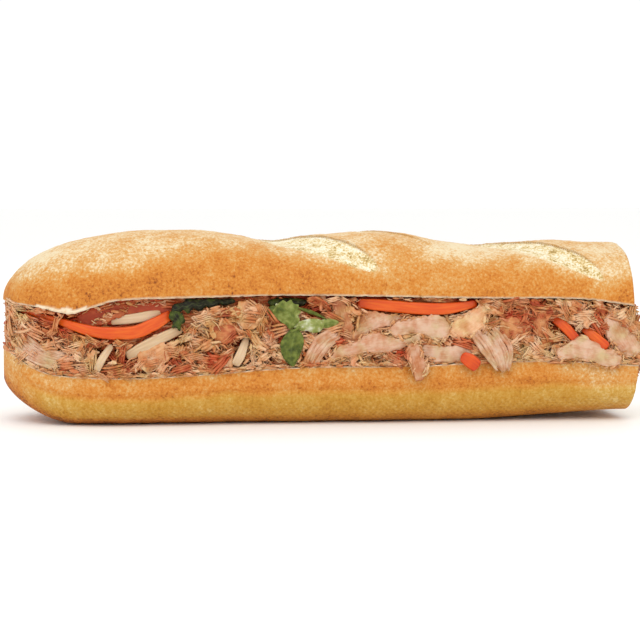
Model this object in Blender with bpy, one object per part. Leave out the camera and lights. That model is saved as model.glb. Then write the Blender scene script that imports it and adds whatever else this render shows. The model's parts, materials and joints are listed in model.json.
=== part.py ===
# A baguette sandwich: one end of a baguette, split into two halves and filled with shredded chicken, larger
# pieces of chicken, sticks of carrot and white radish, and coriander. The loaf keeps its rounded heel at one
# end and was cut straight across at the other.
#
# +X runs from the heel to the cut end, -Y is the front and +Z is up. The origin is on the flat underside.
# Sizes in this script are millimetres, which make_object turns into the metres of the scene.

import math
import random

import bmesh
import bpy
from mathutils import Vector, noise
from mathutils.bvhtree import BVHTree

METRES = 0.001
FRONT, BACK = -1.0, 1.0

# The loaf, seen from above
TIP_X = -126.0
CUT_X = 122.5
HALF_WIDTH = 34.0
HEEL_LENGTH = 54.0
HEEL_POWER = 2.3
SIDE_WAVE = 0.6

# The loaf, seen from the front: smooth lines through (x, z)
CREST_LINE = [(-66, 74.6), (-50, 74.8), (-34, 72.6), (-18, 70.4), (0, 72.8), (31, 73.6), (50, 69.8), (66, 68.2),
              (90, 70.0), (122.5, 69.0)]
TOP_RIM_LINE = [(-126, 47.6), (-113, 46.0), (-99, 43.4), (-91, 45.8), (-82, 48.4), (-50, 49.5), (-11, 50.1),
                (59, 48.7), (100, 48.0), (122.5, 45.4)]
BOTTOM_RIM_LINE = [(-126, 29.4), (-113, 22.0), (-105, 19.8), (-80, 18.7), (-50, 19.8), (-10, 22.4), (30, 22.5),
                   (83, 24.0), (122.5, 21.8)]
CREST_HEEL_LENGTH = 60.0
KEEL_HEEL_LENGTH = 27.0
KEEL_HEEL_POWER = 1.5
KEEL_TIP_Z = 17.0
KEEL_RISE_FROM = 50.0
KEEL_RISE = 3.2
CUT_LEAN_FROM = 96.0
TOP_CUT_LEAN = 3.6
BOTTOM_CUT_LEAN = 2.5

# The loaf's sections
DOME_POWER = 2.4
HALF_ARC = 46.0
FLAT_HALF_WIDTH = 19.0
SHOULDER_SHARE = 0.68
SHOULDER_TUCK = 1.0
UNDERSIDE_POWER = 2.2
CRUST_WAVE = 0.5
CRUST_WAVE_SIZE = 17.0

# The baker's slashes across the crest: middle (x, s), with s the way round the crust from the crest, and how
# each one opened. A slash is a shallow lens with a raised lip along its upper edge.
SLASH_HALF_LENGTH = 35.0
SLASHES = [
    {"x": -3.0, "s": -14.5, "angle": -49.0, "half_width": 10.5, "open": 1.0},
    {"x": 42.0, "s": -3.0, "angle": -44.0, "half_width": 8.0, "open": 0.6},
    {"x": 85.0, "s": -18.0, "angle": -42.0, "half_width": 8.0, "open": 1.0},
]
SLASH_DEPTH = 1.7
LIP_HEIGHT = 1.2
LIP_RAMP = 3.0
LIP_WIDTH = 5.0

# Mesh steps
STATIONS = 48
TOP_CRUST_STEPS = 28
BOTTOM_SIDE_STEPS = 5
CUT_FACE_STEPS = 3

# The filling
CLEARANCE = 0.4
CORE_INSET = 11.0
CORE_TIP_X = -121.0
CORE_CUT_X = 120.0
CORE_WAVE = 0.8
SHRED_SEED = 11
SHRED_TRIES = 900
SHRED_KEEP = 90
SHRED_LENGTH = (9.0, 25.0)
SHRED_WIDTH = (3.0, 5.4)
SHRED_THICKNESS = (2.0, 3.2)
SHRED_STAND = (2.0, 6.0)
SHRED_BOW = (1.4, 3.8)
SHRED_TURN = 0.8
SHRED_MARGIN = 0.6
FRONT_SHARE = 0.44
BACK_SHARE = 0.38
CUT_SHARE = 0.10
LEAF_THICKNESS = 0.6
LEAF_SPOKES = 13
LEAF_RINGS = 2
LEAF_WIDEST = 0.42
LEAF_SCALLOP = 0.16
LEAF_WAVE = 0.45
STEM_WIDTH = 1.3

# Mesh steps along a piece of the filling and round its section
CARROT_STEPS = 8
RADISH_STEPS = 6
SLICE_STEPS = 6
STEM_STEPS = 5
SHRED_STEPS = 2
STICK_SIDES = 4
SLICE_SIDES = 6
STEM_SIDES = 5

# Routes of the larger pieces. A point is (x, z, out): out is how far it lies outside the loaf's widest line.
# Widths follow the route from its first point to its last.
CARROTS = {
    "carrot_1": dict(
        side=FRONT, thickness=3.2, widths=[2.0, 3.2, 4.6, 5.4, 4.6, 2.2],
        route=[(-119, 44.3, -5), (-104, 40.6, -3.4), (-90, 36.6, -2.6), (-76, 36.2, -2.4), (-68, 39.0, -3.0),
               (-60.5, 43.0, -5)]),
    "carrot_2": dict(
        side=FRONT, thickness=3.2, widths=[3.6, 4.4, 4.4, 4.2, 2.6],
        route=[(7, 47.0, -5.4), (20, 46.4, -4.2), (34, 45.0, -3.4), (46, 44.8, -3.4), (58.5, 46.6, -4.6)]),
    "carrot_3": dict(
        side=FRONT, thickness=2.8, widths=[3.0, 4.4, 3.8],
        route=[(49.4, 23.4, 2.3), (54.0, 24.9, 2.1), (58.4, 26.0, 1.2)]),
    "carrot_4": dict(
        side=FRONT, thickness=3.0, widths=[3.4, 4.0, 3.8],
        route=[(87.0, 42.6, -7.0), (92.5, 37.4, -4.0), (97.5, 31.8, -1.4)]),
    "carrot_5": dict(
        side=FRONT, thickness=3.0, widths=[3.2, 4.2, 4.0],
        route=[(100.0, 40.6, -7.0), (104.2, 34.4, -3.6), (109.8, 29.0, -0.8)]),
    "carrot_6": dict(
        side=BACK, thickness=3.2, widths=[2.4, 4.8, 5.2, 2.6],
        route=[(84, 44.0, -5), (66, 38.6, -2.6), (46, 37.6, -2.6), (28, 42.8, -5)]),
    "carrot_7": dict(
        side=BACK, thickness=3.2, widths=[3.0, 4.6, 4.4, 2.6],
        route=[(-26, 46.2, -5), (-44, 44.2, -3.2), (-60, 43.8, -3.2), (-76, 45.6, -4.6)]),
    "carrot_8": dict(
        side=BACK, thickness=3.0, widths=[3.4, 4.2, 3.6],
        route=[(-90, 40.0, -7.0), (-94, 33.0, -3.6), (-99, 27.0, -1.4)]),
}
RADISHES = {
    "radish_1": dict(
        side=FRONT, thickness=2.6, widths=[2.6, 3.2, 2.8],
        route=[(-84, 41.0, -7.4), (-74, 42.0, -7.0), (-64, 44.0, -7.4)]),
    "radish_2": dict(
        side=FRONT, thickness=2.8, widths=[3.6, 4.6, 3.2],
        route=[(-78, 27.0, -2.2), (-68.5, 32.0, -2.2), (-56.5, 37.6, -3.4)]),
    "radish_3": dict(
        side=FRONT, thickness=2.6, widths=[3.4, 3.8, 2.2],
        route=[(-36.4, 23.2, -0.8), (-34.0, 27.6, -1.6), (-31.6, 34.0, -3.2)]),
    "radish_4": dict(
        side=FRONT, thickness=2.6, widths=[2.8, 3.0, 2.4],
        route=[(-89.4, 21.4, -1.0), (-87.0, 26.2, -1.6), (-83.4, 31.6, -3.0)]),
    "radish_5": dict(
        side=BACK, thickness=2.8, widths=[3.0, 4.4, 3.4],
        route=[(20, 26.4, -2.0), (10, 31.4, -2.4), (-1, 36.2, -3.4)]),
    "radish_6": dict(
        side=BACK, thickness=2.6, widths=[3.0, 3.6, 2.4],
        route=[(96, 27.4, -1.4), (99, 33.0, -2.0), (104, 38.6, -3.6)]),
}
SLICES = {
    "chicken_1": dict(
        side=FRONT, thickness=3.0, widths=[5.0, 9.0, 8.4, 4.0],
        route=[(9.5, 31.6, -6.6), (15.4, 36.0, -5.4), (21.4, 39.2, -5.4), (27.6, 39.4, -6.6)]),
    "chicken_2": dict(
        side=FRONT, thickness=2.8, widths=[4.0, 7.2, 8.0, 5.0],
        route=[(23.5, 35.6, -1.6), (31.5, 37.6, -1.0), (40.0, 38.2, -1.0), (49.0, 36.0, -2.2)]),
    "chicken_3": dict(
        side=FRONT, thickness=2.8, widths=[4.6, 6.2, 5.6, 3.0],
        route=[(8.0, 27.2, -1.2), (17.0, 28.9, -0.9), (26.0, 30.2, -1.2), (35.5, 31.6, -2.2)]),
    "chicken_4": dict(
        side=FRONT, thickness=3.0, widths=[5.0, 7.2, 7.0, 3.6],
        route=[(38.4, 27.6, -4.2), (44.0, 28.2, -3.4), (50.0, 29.8, -4.4), (57.5, 32.4, -6.6)]),
    "chicken_5": dict(
        side=FRONT, thickness=2.0, widths=[3.8, 4.8, 4.4, 2.4],
        route=[(29.6, 27.6, 2.4), (31.8, 24.4, 2.6), (33.6, 20.6, 2.6), (35.6, 16.4, 2.0)]),
    "chicken_6": dict(
        side=FRONT, thickness=2.6, widths=[5.0, 8.4, 7.2, 3.0],
        route=[(56.0, 40.6, -3.0), (60.0, 34.0, -0.4), (64.2, 27.6, 1.8), (69.6, 19.4, 2.0)]),
    "chicken_7": dict(
        side=FRONT, thickness=2.6, widths=[4.0, 6.0, 5.4, 4.0],
        route=[(86.0, 27.6, -1.8), (96.0, 27.4, 1.2), (106.0, 25.0, 2.2), (115.0, 22.6, 2.2)]),
    "chicken_8": dict(
        side=FRONT, thickness=2.6, widths=[5.0, 8.2, 6.4, 3.0],
        route=[(110.6, 39.6, -4.0), (115.6, 35.4, -2.4), (120.6, 31.0, -2.2), (125.0, 28.2, -3.0)]),
    "chicken_9": dict(
        side=FRONT, thickness=2.6, widths=[3.4, 4.6, 4.8, 3.6],
        route=[(-121.6, 34.4, -1.6), (-117.2, 29.4, -1.2), (-110.4, 26.2, -1.0), (-102.0, 23.6, -1.4)]),
    "chicken_10": dict(
        side=FRONT, thickness=2.8, widths=[3.6, 4.6, 4.6, 2.8],
        route=[(-0.6, 47.8, -6.4), (2.6, 43.6, -5.2), (5.6, 39.6, -4.8), (7.6, 35.6, -5.6)]),
    "chicken_11": dict(
        side=FRONT, thickness=3.0, widths=[4.6, 6.4, 6.2, 4.0],
        route=[(3.4, 35.0, -1.4), (-0.4, 31.8, -0.8), (-4.0, 28.2, -0.6), (-6.8, 25.0, -1.0)]),
    "chicken_12": dict(
        side=BACK, thickness=3.0, widths=[5.0, 8.4, 7.6, 4.0],
        route=[(-6.0, 33.6, -2.4), (-16.0, 36.0, -1.8), (-26.0, 35.4, -1.8), (-36.0, 32.6, -3.0)]),
    "chicken_13": dict(
        side=BACK, thickness=2.8, widths=[4.4, 6.8, 6.4, 3.6],
        route=[(78.0, 31.4, -2.0), (68.0, 30.6, -1.2), (58.0, 30.0, -1.2), (48.0, 29.8, -2.4)]),
    "chicken_14": dict(
        side=BACK, thickness=2.8, widths=[4.6, 7.0, 6.2, 3.4],
        route=[(-58.0, 36.0, -3.0), (-68.0, 33.8, -1.8), (-77.0, 31.8, -1.8), (-86.0, 31.0, -3.0)]),
    "chicken_15": dict(
        side=BACK, thickness=2.2, widths=[4.0, 5.0, 4.4, 2.4],
        route=[(-47.0, 31.6, 0.6), (-49.0, 25.6, 2.4), (-51.0, 20.0, 2.6), (-53.0, 15.6, 2.0)]),
}
# A coriander leaf is a stem with leaflets on it. A leaflet starts at its foot, (x, z, out), points along its
# angle from +X towards +Z, and leans out from there.
CORIANDER = {
    "coriander_1": dict(
        side=FRONT, stem=[(-11.0, 38.2, 0.0), (-13.4, 36.9, 1.3), (-15.2, 35.8, 1.7)],
        leaflets=[
        dict(foot=(-15.0, 35.6, 1.7), angle=103, length=12.6, width=11.6, lean=-0.10, lobes=3),
        dict(foot=(-15.0, 36.0, 1.7), angle=-86, length=13.2, width=8.8, lean=0.07, lobes=1),
        dict(foot=(-14.0, 36.6, 1.5), angle=12, length=13.0, width=7.6, lean=-0.12, lobes=3)]),
    "coriander_2": dict(
        side=FRONT, stem=[(-60.0, 39.4, -1.0), (-58.0, 41.6, -1.0), (-55.4, 42.9, -1.5)],
        leaflets=[
        dict(foot=(-56.0, 42.8, -1.4), angle=5, length=13.0, width=7.0, lean=-0.10, lobes=3),
        dict(foot=(-57.4, 42.0, -1.1), angle=-62, length=8.6, width=6.0, lean=0.02, lobes=2)]),
    "coriander_3": dict(
        side=BACK, stem=[(28.0, 35.0, 0.4), (31.0, 33.2, 1.4), (33.6, 31.6, 1.8)],
        leaflets=[
        dict(foot=(33.2, 31.8, 1.8), angle=48, length=12.0, width=10.6, lean=-0.10, lobes=3),
        dict(foot=(33.2, 31.6, 1.8), angle=-58, length=11.6, width=8.4, lean=0.06, lobes=2)]),
}

MATERIALS = {
    "crust": ((0.87, 0.56, 0.26), 0.62),
    "chicken_shreds": ((0.74, 0.52, 0.37), 0.55),
    "chicken": ((0.83, 0.66, 0.52), 0.50),
    "carrot": ((0.93, 0.36, 0.10), 0.35),
    "radish": ((0.85, 0.77, 0.62), 0.38),
    "coriander": ((0.28, 0.44, 0.14), 0.50),
}


def clamp(value, low=0.0, high=1.0):
    return max(low, min(high, value))


def mix(a, b, share):
    return a + (b - a) * share


def ease(share):
    share = clamp(share)
    return share * share * (3 - 2 * share)


def line_height(points, x):
    # Height at x of the smooth line through the (x, z) points, level beyond its ends.
    if x <= points[0][0]:
        return points[0][1]
    if x >= points[-1][0]:
        return points[-1][1]
    last = len(points) - 1
    i = next(k for k in range(last) if x < points[k + 1][0])

    def slope(k):
        before, after = points[max(k - 1, 0)], points[min(k + 1, last)]
        return (after[1] - before[1]) / (after[0] - before[0])

    (x0, z0), (x1, z1) = points[i], points[i + 1]
    gap = x1 - x0
    t = (x - x0) / gap
    return (z0 * (1 + 2 * t) * (1 - t) ** 2 + slope(i) * gap * t * (1 - t) ** 2
            + z1 * t * t * (3 - 2 * t) + slope(i + 1) * gap * t * t * (t - 1))


def smooth_path(points, steps):
    # Points spread evenly by parameter along a Catmull-Rom curve through the given ones.
    ends = [points[0] * 2 - points[1], *points, points[-1] * 2 - points[-2]]
    path = []
    for k in range(steps + 1):
        place = k / steps * (len(points) - 1)
        i = min(int(place), len(points) - 2)
        t = place - i
        a, b, c, d = ends[i:i + 4]
        path.append(0.5 * (2 * b + (c - a) * t + (2 * a - 5 * b + 4 * c - d) * t * t
                           + (3 * b - a - 3 * c + d) * t ** 3))
    return path


def heel(x, length, power):
    # Grows from 0 at the tip of the heel to 1 where the loaf has its full size.
    t = clamp((x - TIP_X) / length)
    return (1 - (1 - t) ** power) ** (1 / power)


def half_width(x):
    wave = SIDE_WAVE * math.sin(x / 19.0) * ease((x - TIP_X) / HEEL_LENGTH)
    return (HALF_WIDTH + wave) * heel(x, HEEL_LENGTH, HEEL_POWER)


def top_rim(x):
    return line_height(TOP_RIM_LINE, x)


def bottom_rim(x):
    return line_height(BOTTOM_RIM_LINE, x)


def crest(x):
    tip = TOP_RIM_LINE[0][1]
    return tip + (line_height(CREST_LINE, x) - tip) * heel(x, CREST_HEEL_LENGTH, HEEL_POWER)


def keel(x):
    tip_part = KEEL_TIP_Z * (1 - heel(x, KEEL_HEEL_LENGTH, KEEL_HEEL_POWER))
    return tip_part + KEEL_RISE * ease((x - KEEL_RISE_FROM) / (CUT_X - KEEL_RISE_FROM))


def slash_relief(x, s):
    # Height of the slashes' floors and lips over the crust, at x and at s round it from the crest. A floor
    # deepens from its lower edge and climbs to the lip at its upper edge, which falls back to the crust.
    height = 0.0
    for slash in SLASHES:
        turn = math.radians(slash["angle"])
        dx, ds = x - slash["x"], s - slash["s"]
        along = (dx * math.cos(turn) + ds * math.sin(turn)) / SLASH_HALF_LENGTH
        across = ds * math.cos(turn) - dx * math.sin(turn)
        if abs(along) >= 1:
            continue
        opening = slash["half_width"] * (1 - along * along) ** 0.7
        strength = slash["open"] * (1 - along * along) ** 0.5
        floor = -SLASH_DEPTH * ease((across / opening + 1) / 1.3)
        past = across - opening
        if past < LIP_RAMP:
            profile = mix(floor, LIP_HEIGHT, ease(past / LIP_RAMP))
        else:
            profile = LIP_HEIGHT * clamp(1 - (past - LIP_RAMP) / LIP_WIDTH) ** 2
        height += strength * profile
    return height


def crust_wave(point):
    return CRUST_WAVE * noise.noise(point / CRUST_WAVE_SIZE)


def stations():
    # x of each section: close together in the heel, then evenly spaced to the cut end. Both halves and the core
    # of the filling share them, so that their cut faces stay parallel.
    heel_count = STATIONS // 3
    rest = STATIONS - heel_count
    shoulder = TIP_X + HEEL_LENGTH
    near = [mix(TIP_X, shoulder, (k / heel_count) ** 1.8) for k in range(1, heel_count + 1)]
    return near + [mix(shoulder, CUT_X, k / rest) for k in range(1, rest + 1)]


def top_section(x):
    # One closed loop round the upper half: over the crust from front to back, then back along the cut face.
    width, rim = half_width(x), top_rim(x)
    height = crest(x) - rim
    lean = TOP_CUT_LEAN * ease((x - CUT_LEAN_FROM) / (CUT_X - CUT_LEAN_FROM))
    loop = []
    for k in range(TOP_CRUST_STEPS + 1):
        theta = math.pi * k / TOP_CRUST_STEPS
        y = -width * math.copysign(abs(math.cos(theta)) ** (2 / DOME_POWER), math.cos(theta))
        rise = height * math.sin(theta) ** (2 / DOME_POWER)
        s = (theta / math.pi * 2 - 1) * HALF_ARC
        out = Vector((0, y, rise))
        if 0 < k < TOP_CRUST_STEPS and out.length > 1:
            swell = slash_relief(x, s) + crust_wave(Vector((x, y, rise)))
            out += out.normalized() * swell * clamp(rise / 3)
        loop.append(Vector((x - lean * out.z / height, out.y, rim + out.z)))
    for k in range(1, CUT_FACE_STEPS):
        loop.append(Vector((x, mix(width, -width, k / CUT_FACE_STEPS), rim)))
    return loop


def bottom_section(x):
    # One closed loop round the lower half: down the front, along the flat, up the back, then over the cut face.
    width, rim, base = half_width(x), bottom_rim(x), keel(x)
    shoulder = mix(base, rim, SHOULDER_SHARE)
    flat = FLAT_HALF_WIDTH * width / HALF_WIDTH
    lean = BOTTOM_CUT_LEAN * ease((x - CUT_LEAN_FROM) / (CUT_X - CUT_LEAN_FROM))
    side = [(width - SHOULDER_TUCK, rim)]
    for k in range(BOTTOM_SIDE_STEPS + 1):
        theta = math.pi / 2 * k / BOTTOM_SIDE_STEPS
        across = math.cos(theta) ** (2 / UNDERSIDE_POWER)
        down = math.sin(theta) ** (2 / UNDERSIDE_POWER)
        y, z = mix(flat, width, across), mix(shoulder, base, down)
        side.append((y + crust_wave(Vector((x, y, z))) * math.sin(2 * theta), z))
    outline = [(-y, z) for y, z in side] + [(0.0, base)] + side[::-1]
    loop = [Vector((x - lean * (rim - z) / (rim - base), y, z)) for y, z in outline]
    for k in range(1, CUT_FACE_STEPS):
        y = mix(width - SHOULDER_TUCK, SHOULDER_TUCK - width, k / CUT_FACE_STEPS)
        loop.append(Vector((x, y, rim)))
    return loop


def loft(loops, pole=None):
    # A closed skin over loops of equal length. It starts in a flat cap, or in a pole, and ends in a flat cap.
    mesh = bmesh.new()
    rings = [[mesh.verts.new(point) for point in loop] for loop in loops]
    for ring, following in zip(rings, rings[1:]):
        for k in range(len(ring)):
            n = (k + 1) % len(ring)
            mesh.faces.new((ring[k], ring[n], following[n], following[k]))
    if pole is None:
        mesh.faces.new(rings[0])
    else:
        tip = mesh.verts.new(pole)
        for k in range(len(rings[0])):
            mesh.faces.new((tip, rings[0][k], rings[0][(k + 1) % len(rings[0])]))
    mesh.faces.new(rings[-1])
    bmesh.ops.recalc_face_normals(mesh, faces=mesh.faces)
    return mesh


def make_object(name, mesh, material):
    # Turns a bmesh in millimetres into an object that has its origin in its own middle.
    corners = [vert.co for vert in mesh.verts]
    middle = Vector([(min(c[i] for c in corners) + max(c[i] for c in corners)) / 2 for i in range(3)])
    bmesh.ops.translate(mesh, verts=mesh.verts, vec=-middle)
    bmesh.ops.scale(mesh, verts=mesh.verts, vec=Vector((METRES, METRES, METRES)))
    data = bpy.data.meshes.new(name)
    mesh.to_mesh(data)
    mesh.free()
    data.shade_smooth()
    data.set_sharp_from_angle(angle=math.radians(40))
    item = bpy.data.objects.new(name, data)
    item.location = middle * METRES
    item.data.materials.append(material)
    bpy.context.scene.collection.objects.link(item)
    return item


def make_material(name, colour, roughness):
    material = bpy.data.materials.new(name)
    material.use_nodes = True
    shader = material.node_tree.nodes["Principled BSDF"]
    shader.inputs["Base Color"].default_value = (*colour, 1.0)
    shader.inputs["Roughness"].default_value = roughness
    shader.inputs["Metallic"].default_value = 0.0
    return material


def side_point(side, x, z, out):
    # The point at x and z that lies out beyond the loaf's widest line, on its front or its back.
    return Vector((x, side * (half_width(x) + out), z))


def side_normal(side, x):
    # Level direction that points out of the filling there.
    step = 0.5
    growth = (half_width(x + step) - half_width(x - step)) / (2 * step)
    return Vector((-growth, side, 0)).normalized()


def swept(path, widths, thickness, facing, corners):
    # A closed bar along path. Each section has its width across the path and its thickness along facing.
    loops = []
    for k, point in enumerate(path):
        ahead = (path[min(k + 1, len(path) - 1)] - path[max(k - 1, 0)]).normalized()
        across = facing(point).cross(ahead).normalized()
        outward = ahead.cross(across)
        width = widths[k]
        depth = thickness * (0.55 + 0.45 * math.sin(math.pi * (k + 0.6) / (len(path) + 0.2)))
        loops.append([point + across * a * width / 2 + outward * b * depth / 2 for a, b in corners])
    return loft(loops)


def polygon(sides):
    # Corners of an even polygon stretched to fill a 2 by 2 square.
    turns = [2 * math.pi * (k + 0.5) / sides for k in range(sides)]
    widest = max(math.cos(turn) for turn in turns)
    deepest = max(math.sin(turn) for turn in turns)
    return [(math.cos(turn) / widest, math.sin(turn) / deepest) for turn in turns]


def routed_piece(spec, steps, corners):
    # A stick or a slice of chicken that follows its route along the front or the back of the filling.
    side = spec["side"]
    path = smooth_path([side_point(side, *point) for point in spec["route"]], steps)
    width_line = list(enumerate(spec["widths"]))
    last = len(spec["widths"]) - 1
    widths = [line_height(width_line, k / steps * last) for k in range(steps + 1)]
    return swept(path, widths, spec["thickness"], lambda point: side_normal(side, point.x), corners)


def leaflet(side, foot, angle, length, width, lean, lobes):
    # A thin wavy blade: rings of points from its foot out to a scalloped edge, given its thickness by Solidify.
    start = side_point(side, *foot)
    turn = math.radians(angle)
    along = Vector((math.cos(turn), 0, math.sin(turn)))
    outward = side_normal(side, start.x)
    along = (along + outward * lean).normalized()
    across = outward.cross(along).normalized()
    outward = along.cross(across)
    mesh = bmesh.new()
    middle = start + along * length * LEAF_WIDEST
    hub = mesh.verts.new(middle + outward * 0.4)
    loops = []
    for ring in range(1, LEAF_RINGS + 1):
        share = ring / LEAF_RINGS
        loop = []
        for k in range(LEAF_SPOKES):
            theta = 2 * math.pi * k / LEAF_SPOKES
            scallop = 1 + LEAF_SCALLOP * math.cos(theta * lobes * 2) * share if lobes > 1 else 1.0
            reach_along = (1 - LEAF_WIDEST if math.cos(theta) > 0 else LEAF_WIDEST) * length * math.cos(theta)
            reach_across = width / 2 * math.sin(theta) * (1.0 - 0.22 * math.cos(theta))
            reach = along * reach_along + across * reach_across
            wave = LEAF_WAVE * share * math.sin(3 * theta + angle) - 0.5 * share * share
            loop.append(mesh.verts.new(middle + reach * share * scallop + outward * (0.4 + wave)))
        loops.append(loop)
    for k in range(LEAF_SPOKES):
        n = (k + 1) % LEAF_SPOKES
        mesh.faces.new((hub, loops[0][k], loops[0][n]))
        for inner, outer in zip(loops, loops[1:]):
            mesh.faces.new((inner[k], outer[k], outer[n]))
            mesh.faces.new((inner[k], outer[n], inner[n]))
    bmesh.ops.recalc_face_normals(mesh, faces=mesh.faces)
    blade = make_object("leaflet", mesh, None)
    thicken = blade.modifiers.new("Thickness", "SOLIDIFY")
    thicken.thickness = LEAF_THICKNESS * METRES
    thicken.offset = 0.0
    return blade


def largest_body(mesh):
    # Keeps the largest connected body: this drops loose scraps and the skins of sealed hollows.
    unseen = set(mesh.verts)
    bodies = []
    while unseen:
        stack = [unseen.pop()]
        body = set(stack)
        while stack:
            for edge in stack.pop().link_edges:
                for vert in edge.verts:
                    if vert in unseen:
                        unseen.discard(vert)
                        body.add(vert)
                        stack.append(vert)
        bodies.append(body)
    bodies.sort(key=len, reverse=True)
    for body in bodies[1:]:
        bmesh.ops.delete(mesh, geom=list(body), context="VERTS")


def fuse(name, base, others, material):
    # One Boolean union of base with the other objects, applied, as one closed body.
    group = bpy.data.collections.new(name + "_parts")
    bpy.context.scene.collection.children.link(group)
    for item in others:
        bpy.context.scene.collection.objects.unlink(item)
        group.objects.link(item)
    union = base.modifiers.new("Union", "BOOLEAN")
    union.operation = "UNION"
    union.operand_type = "COLLECTION"
    union.collection = group
    union.solver = "MANIFOLD"
    bpy.context.view_layer.update()
    evaluated = base.evaluated_get(bpy.context.evaluated_depsgraph_get())
    mesh = bmesh.new()
    mesh.from_mesh(evaluated.to_mesh())
    bmesh.ops.transform(mesh, matrix=base.matrix_world, verts=mesh.verts)
    bmesh.ops.scale(mesh, vec=Vector((1, 1, 1)) / METRES, verts=mesh.verts)
    bmesh.ops.triangulate(mesh, faces=mesh.faces)
    largest_body(mesh)
    for item in [base, *others]:
        bpy.data.objects.remove(item)
    bpy.data.collections.remove(group)
    return make_object(name, mesh, material)


def make_sprig(name, spec, material):
    # A coriander stem with its leaflets fused on.
    side = spec["side"]
    path = smooth_path([side_point(side, *point) for point in spec["stem"]], STEM_STEPS)
    widths = [STEM_WIDTH] * len(path)
    stem = swept(path, widths, STEM_WIDTH, lambda point: side_normal(side, point.x), polygon(STEM_SIDES))
    blades = [leaflet(side, **leaf) for leaf in spec["leaflets"]]
    return fuse(name, make_object("stem", stem, material), blades, material)


def core_section(x):
    # The packed middle of the filling, set in from the bread's edge and clear of both cut faces.
    low = bottom_rim(x) + CLEARANCE
    high = top_rim(x) - CLEARANCE
    reach = max(half_width(x) - CORE_INSET, 3.0)
    loop = []
    for side in (FRONT, BACK):
        for share in (0.0, 0.33, 0.67, 1.0):
            rise = share if side == FRONT else 1 - share
            bulge = CORE_WAVE * (math.sin(x / 7 + 3 * rise + side) + 1.2 * math.sin(math.pi * rise))
            loop.append(Vector((x, side * (reach + bulge), mix(low, high, rise))))
    return loop


def make_core():
    return loft([core_section(x) for x in stations() if CORE_TIP_X < x < CORE_CUT_X])


def keeps_clear(mesh, others):
    # True if mesh stays outside every other piece by the margin. Each piece comes as its search tree and its
    # corners, so that the gap is measured from both sides.
    probes = [vert.co for vert in mesh.verts] + [(e.verts[0].co + e.verts[1].co) / 2 for e in mesh.edges]
    own = BVHTree.FromBMesh(mesh)
    for tree, corners in others:
        if own.overlap(tree):
            return False
        for probe in probes:
            near, normal, _, _ = tree.find_nearest(probe, 6.0)
            if near is not None:
                offset = probe - near
                if offset.length < SHRED_MARGIN or offset.dot(normal) < 0:
                    return False
        if any(own.find_nearest(corner, SHRED_MARGIN)[0] is not None for corner in corners):
            return False
    return True


def shred(draw, share):
    # One torn strip of meat on the outside of the core, with both ends running back into it. Most lie along the
    # front and the back, share of the way along the loaf; the others close the cut end and the heel.
    pick = draw.random()
    x = mix(TIP_X + 5, CUT_X, share)
    height = draw.uniform(0.10, 0.90)
    if pick < FRONT_SHARE + BACK_SHARE:
        side = FRONT if pick < FRONT_SHARE else BACK
        outward = side_normal(side, x)
        foot = side_point(side, x, 0, draw.uniform(*SHRED_STAND) - CORE_INSET)
    elif pick < FRONT_SHARE + BACK_SHARE + CUT_SHARE:
        x = CORE_CUT_X
        outward = Vector((1, 0, 0))
        foot = Vector((x + draw.uniform(-0.5, 2.5), draw.uniform(-26, 26), 0))
    else:
        x = CORE_TIP_X
        outward = Vector((-1, 0, 0))
        foot = Vector((x - draw.uniform(-1.5, 1.0), draw.uniform(-10, 10), 0))
    middle = foot + Vector((0, 0, mix(bottom_rim(x), top_rim(x), height)))
    level = Vector((0, 0, 1)).cross(outward)
    turn = draw.gauss(0, SHRED_TURN)
    along = (level * math.cos(turn) + Vector((0, 0, 1)) * math.sin(turn)).normalized()
    reach = draw.uniform(*SHRED_LENGTH) / 2
    path = smooth_path([middle - along * reach - outward * draw.uniform(1, 3),
                        middle + outward * draw.uniform(*SHRED_BOW),
                        middle + along * reach - outward * draw.uniform(-1, 3)], SHRED_STEPS)
    width = draw.uniform(*SHRED_WIDTH)
    widths = [width * draw.uniform(0.5, 0.7), width, width * draw.uniform(0.5, 0.7)]
    return swept(path, widths, draw.uniform(*SHRED_THICKNESS), lambda point: outward, polygon(STICK_SIDES))


def make_heap(others, material):
    # The shredded chicken: the core with the torn strips that show fused on, clear of every other piece.
    draw = random.Random(SHRED_SEED)
    core = make_object("core", make_core(), material)
    strips = []
    for k in range(SHRED_TRIES):
        if len(strips) == SHRED_KEEP:
            break
        strip = shred(draw, k * 0.618034 % 1)
        if keeps_clear(strip, others):
            strips.append(make_object("strip", strip, material))
        else:
            strip.free()
    return fuse("chicken_shreds", core, strips, material)


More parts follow.
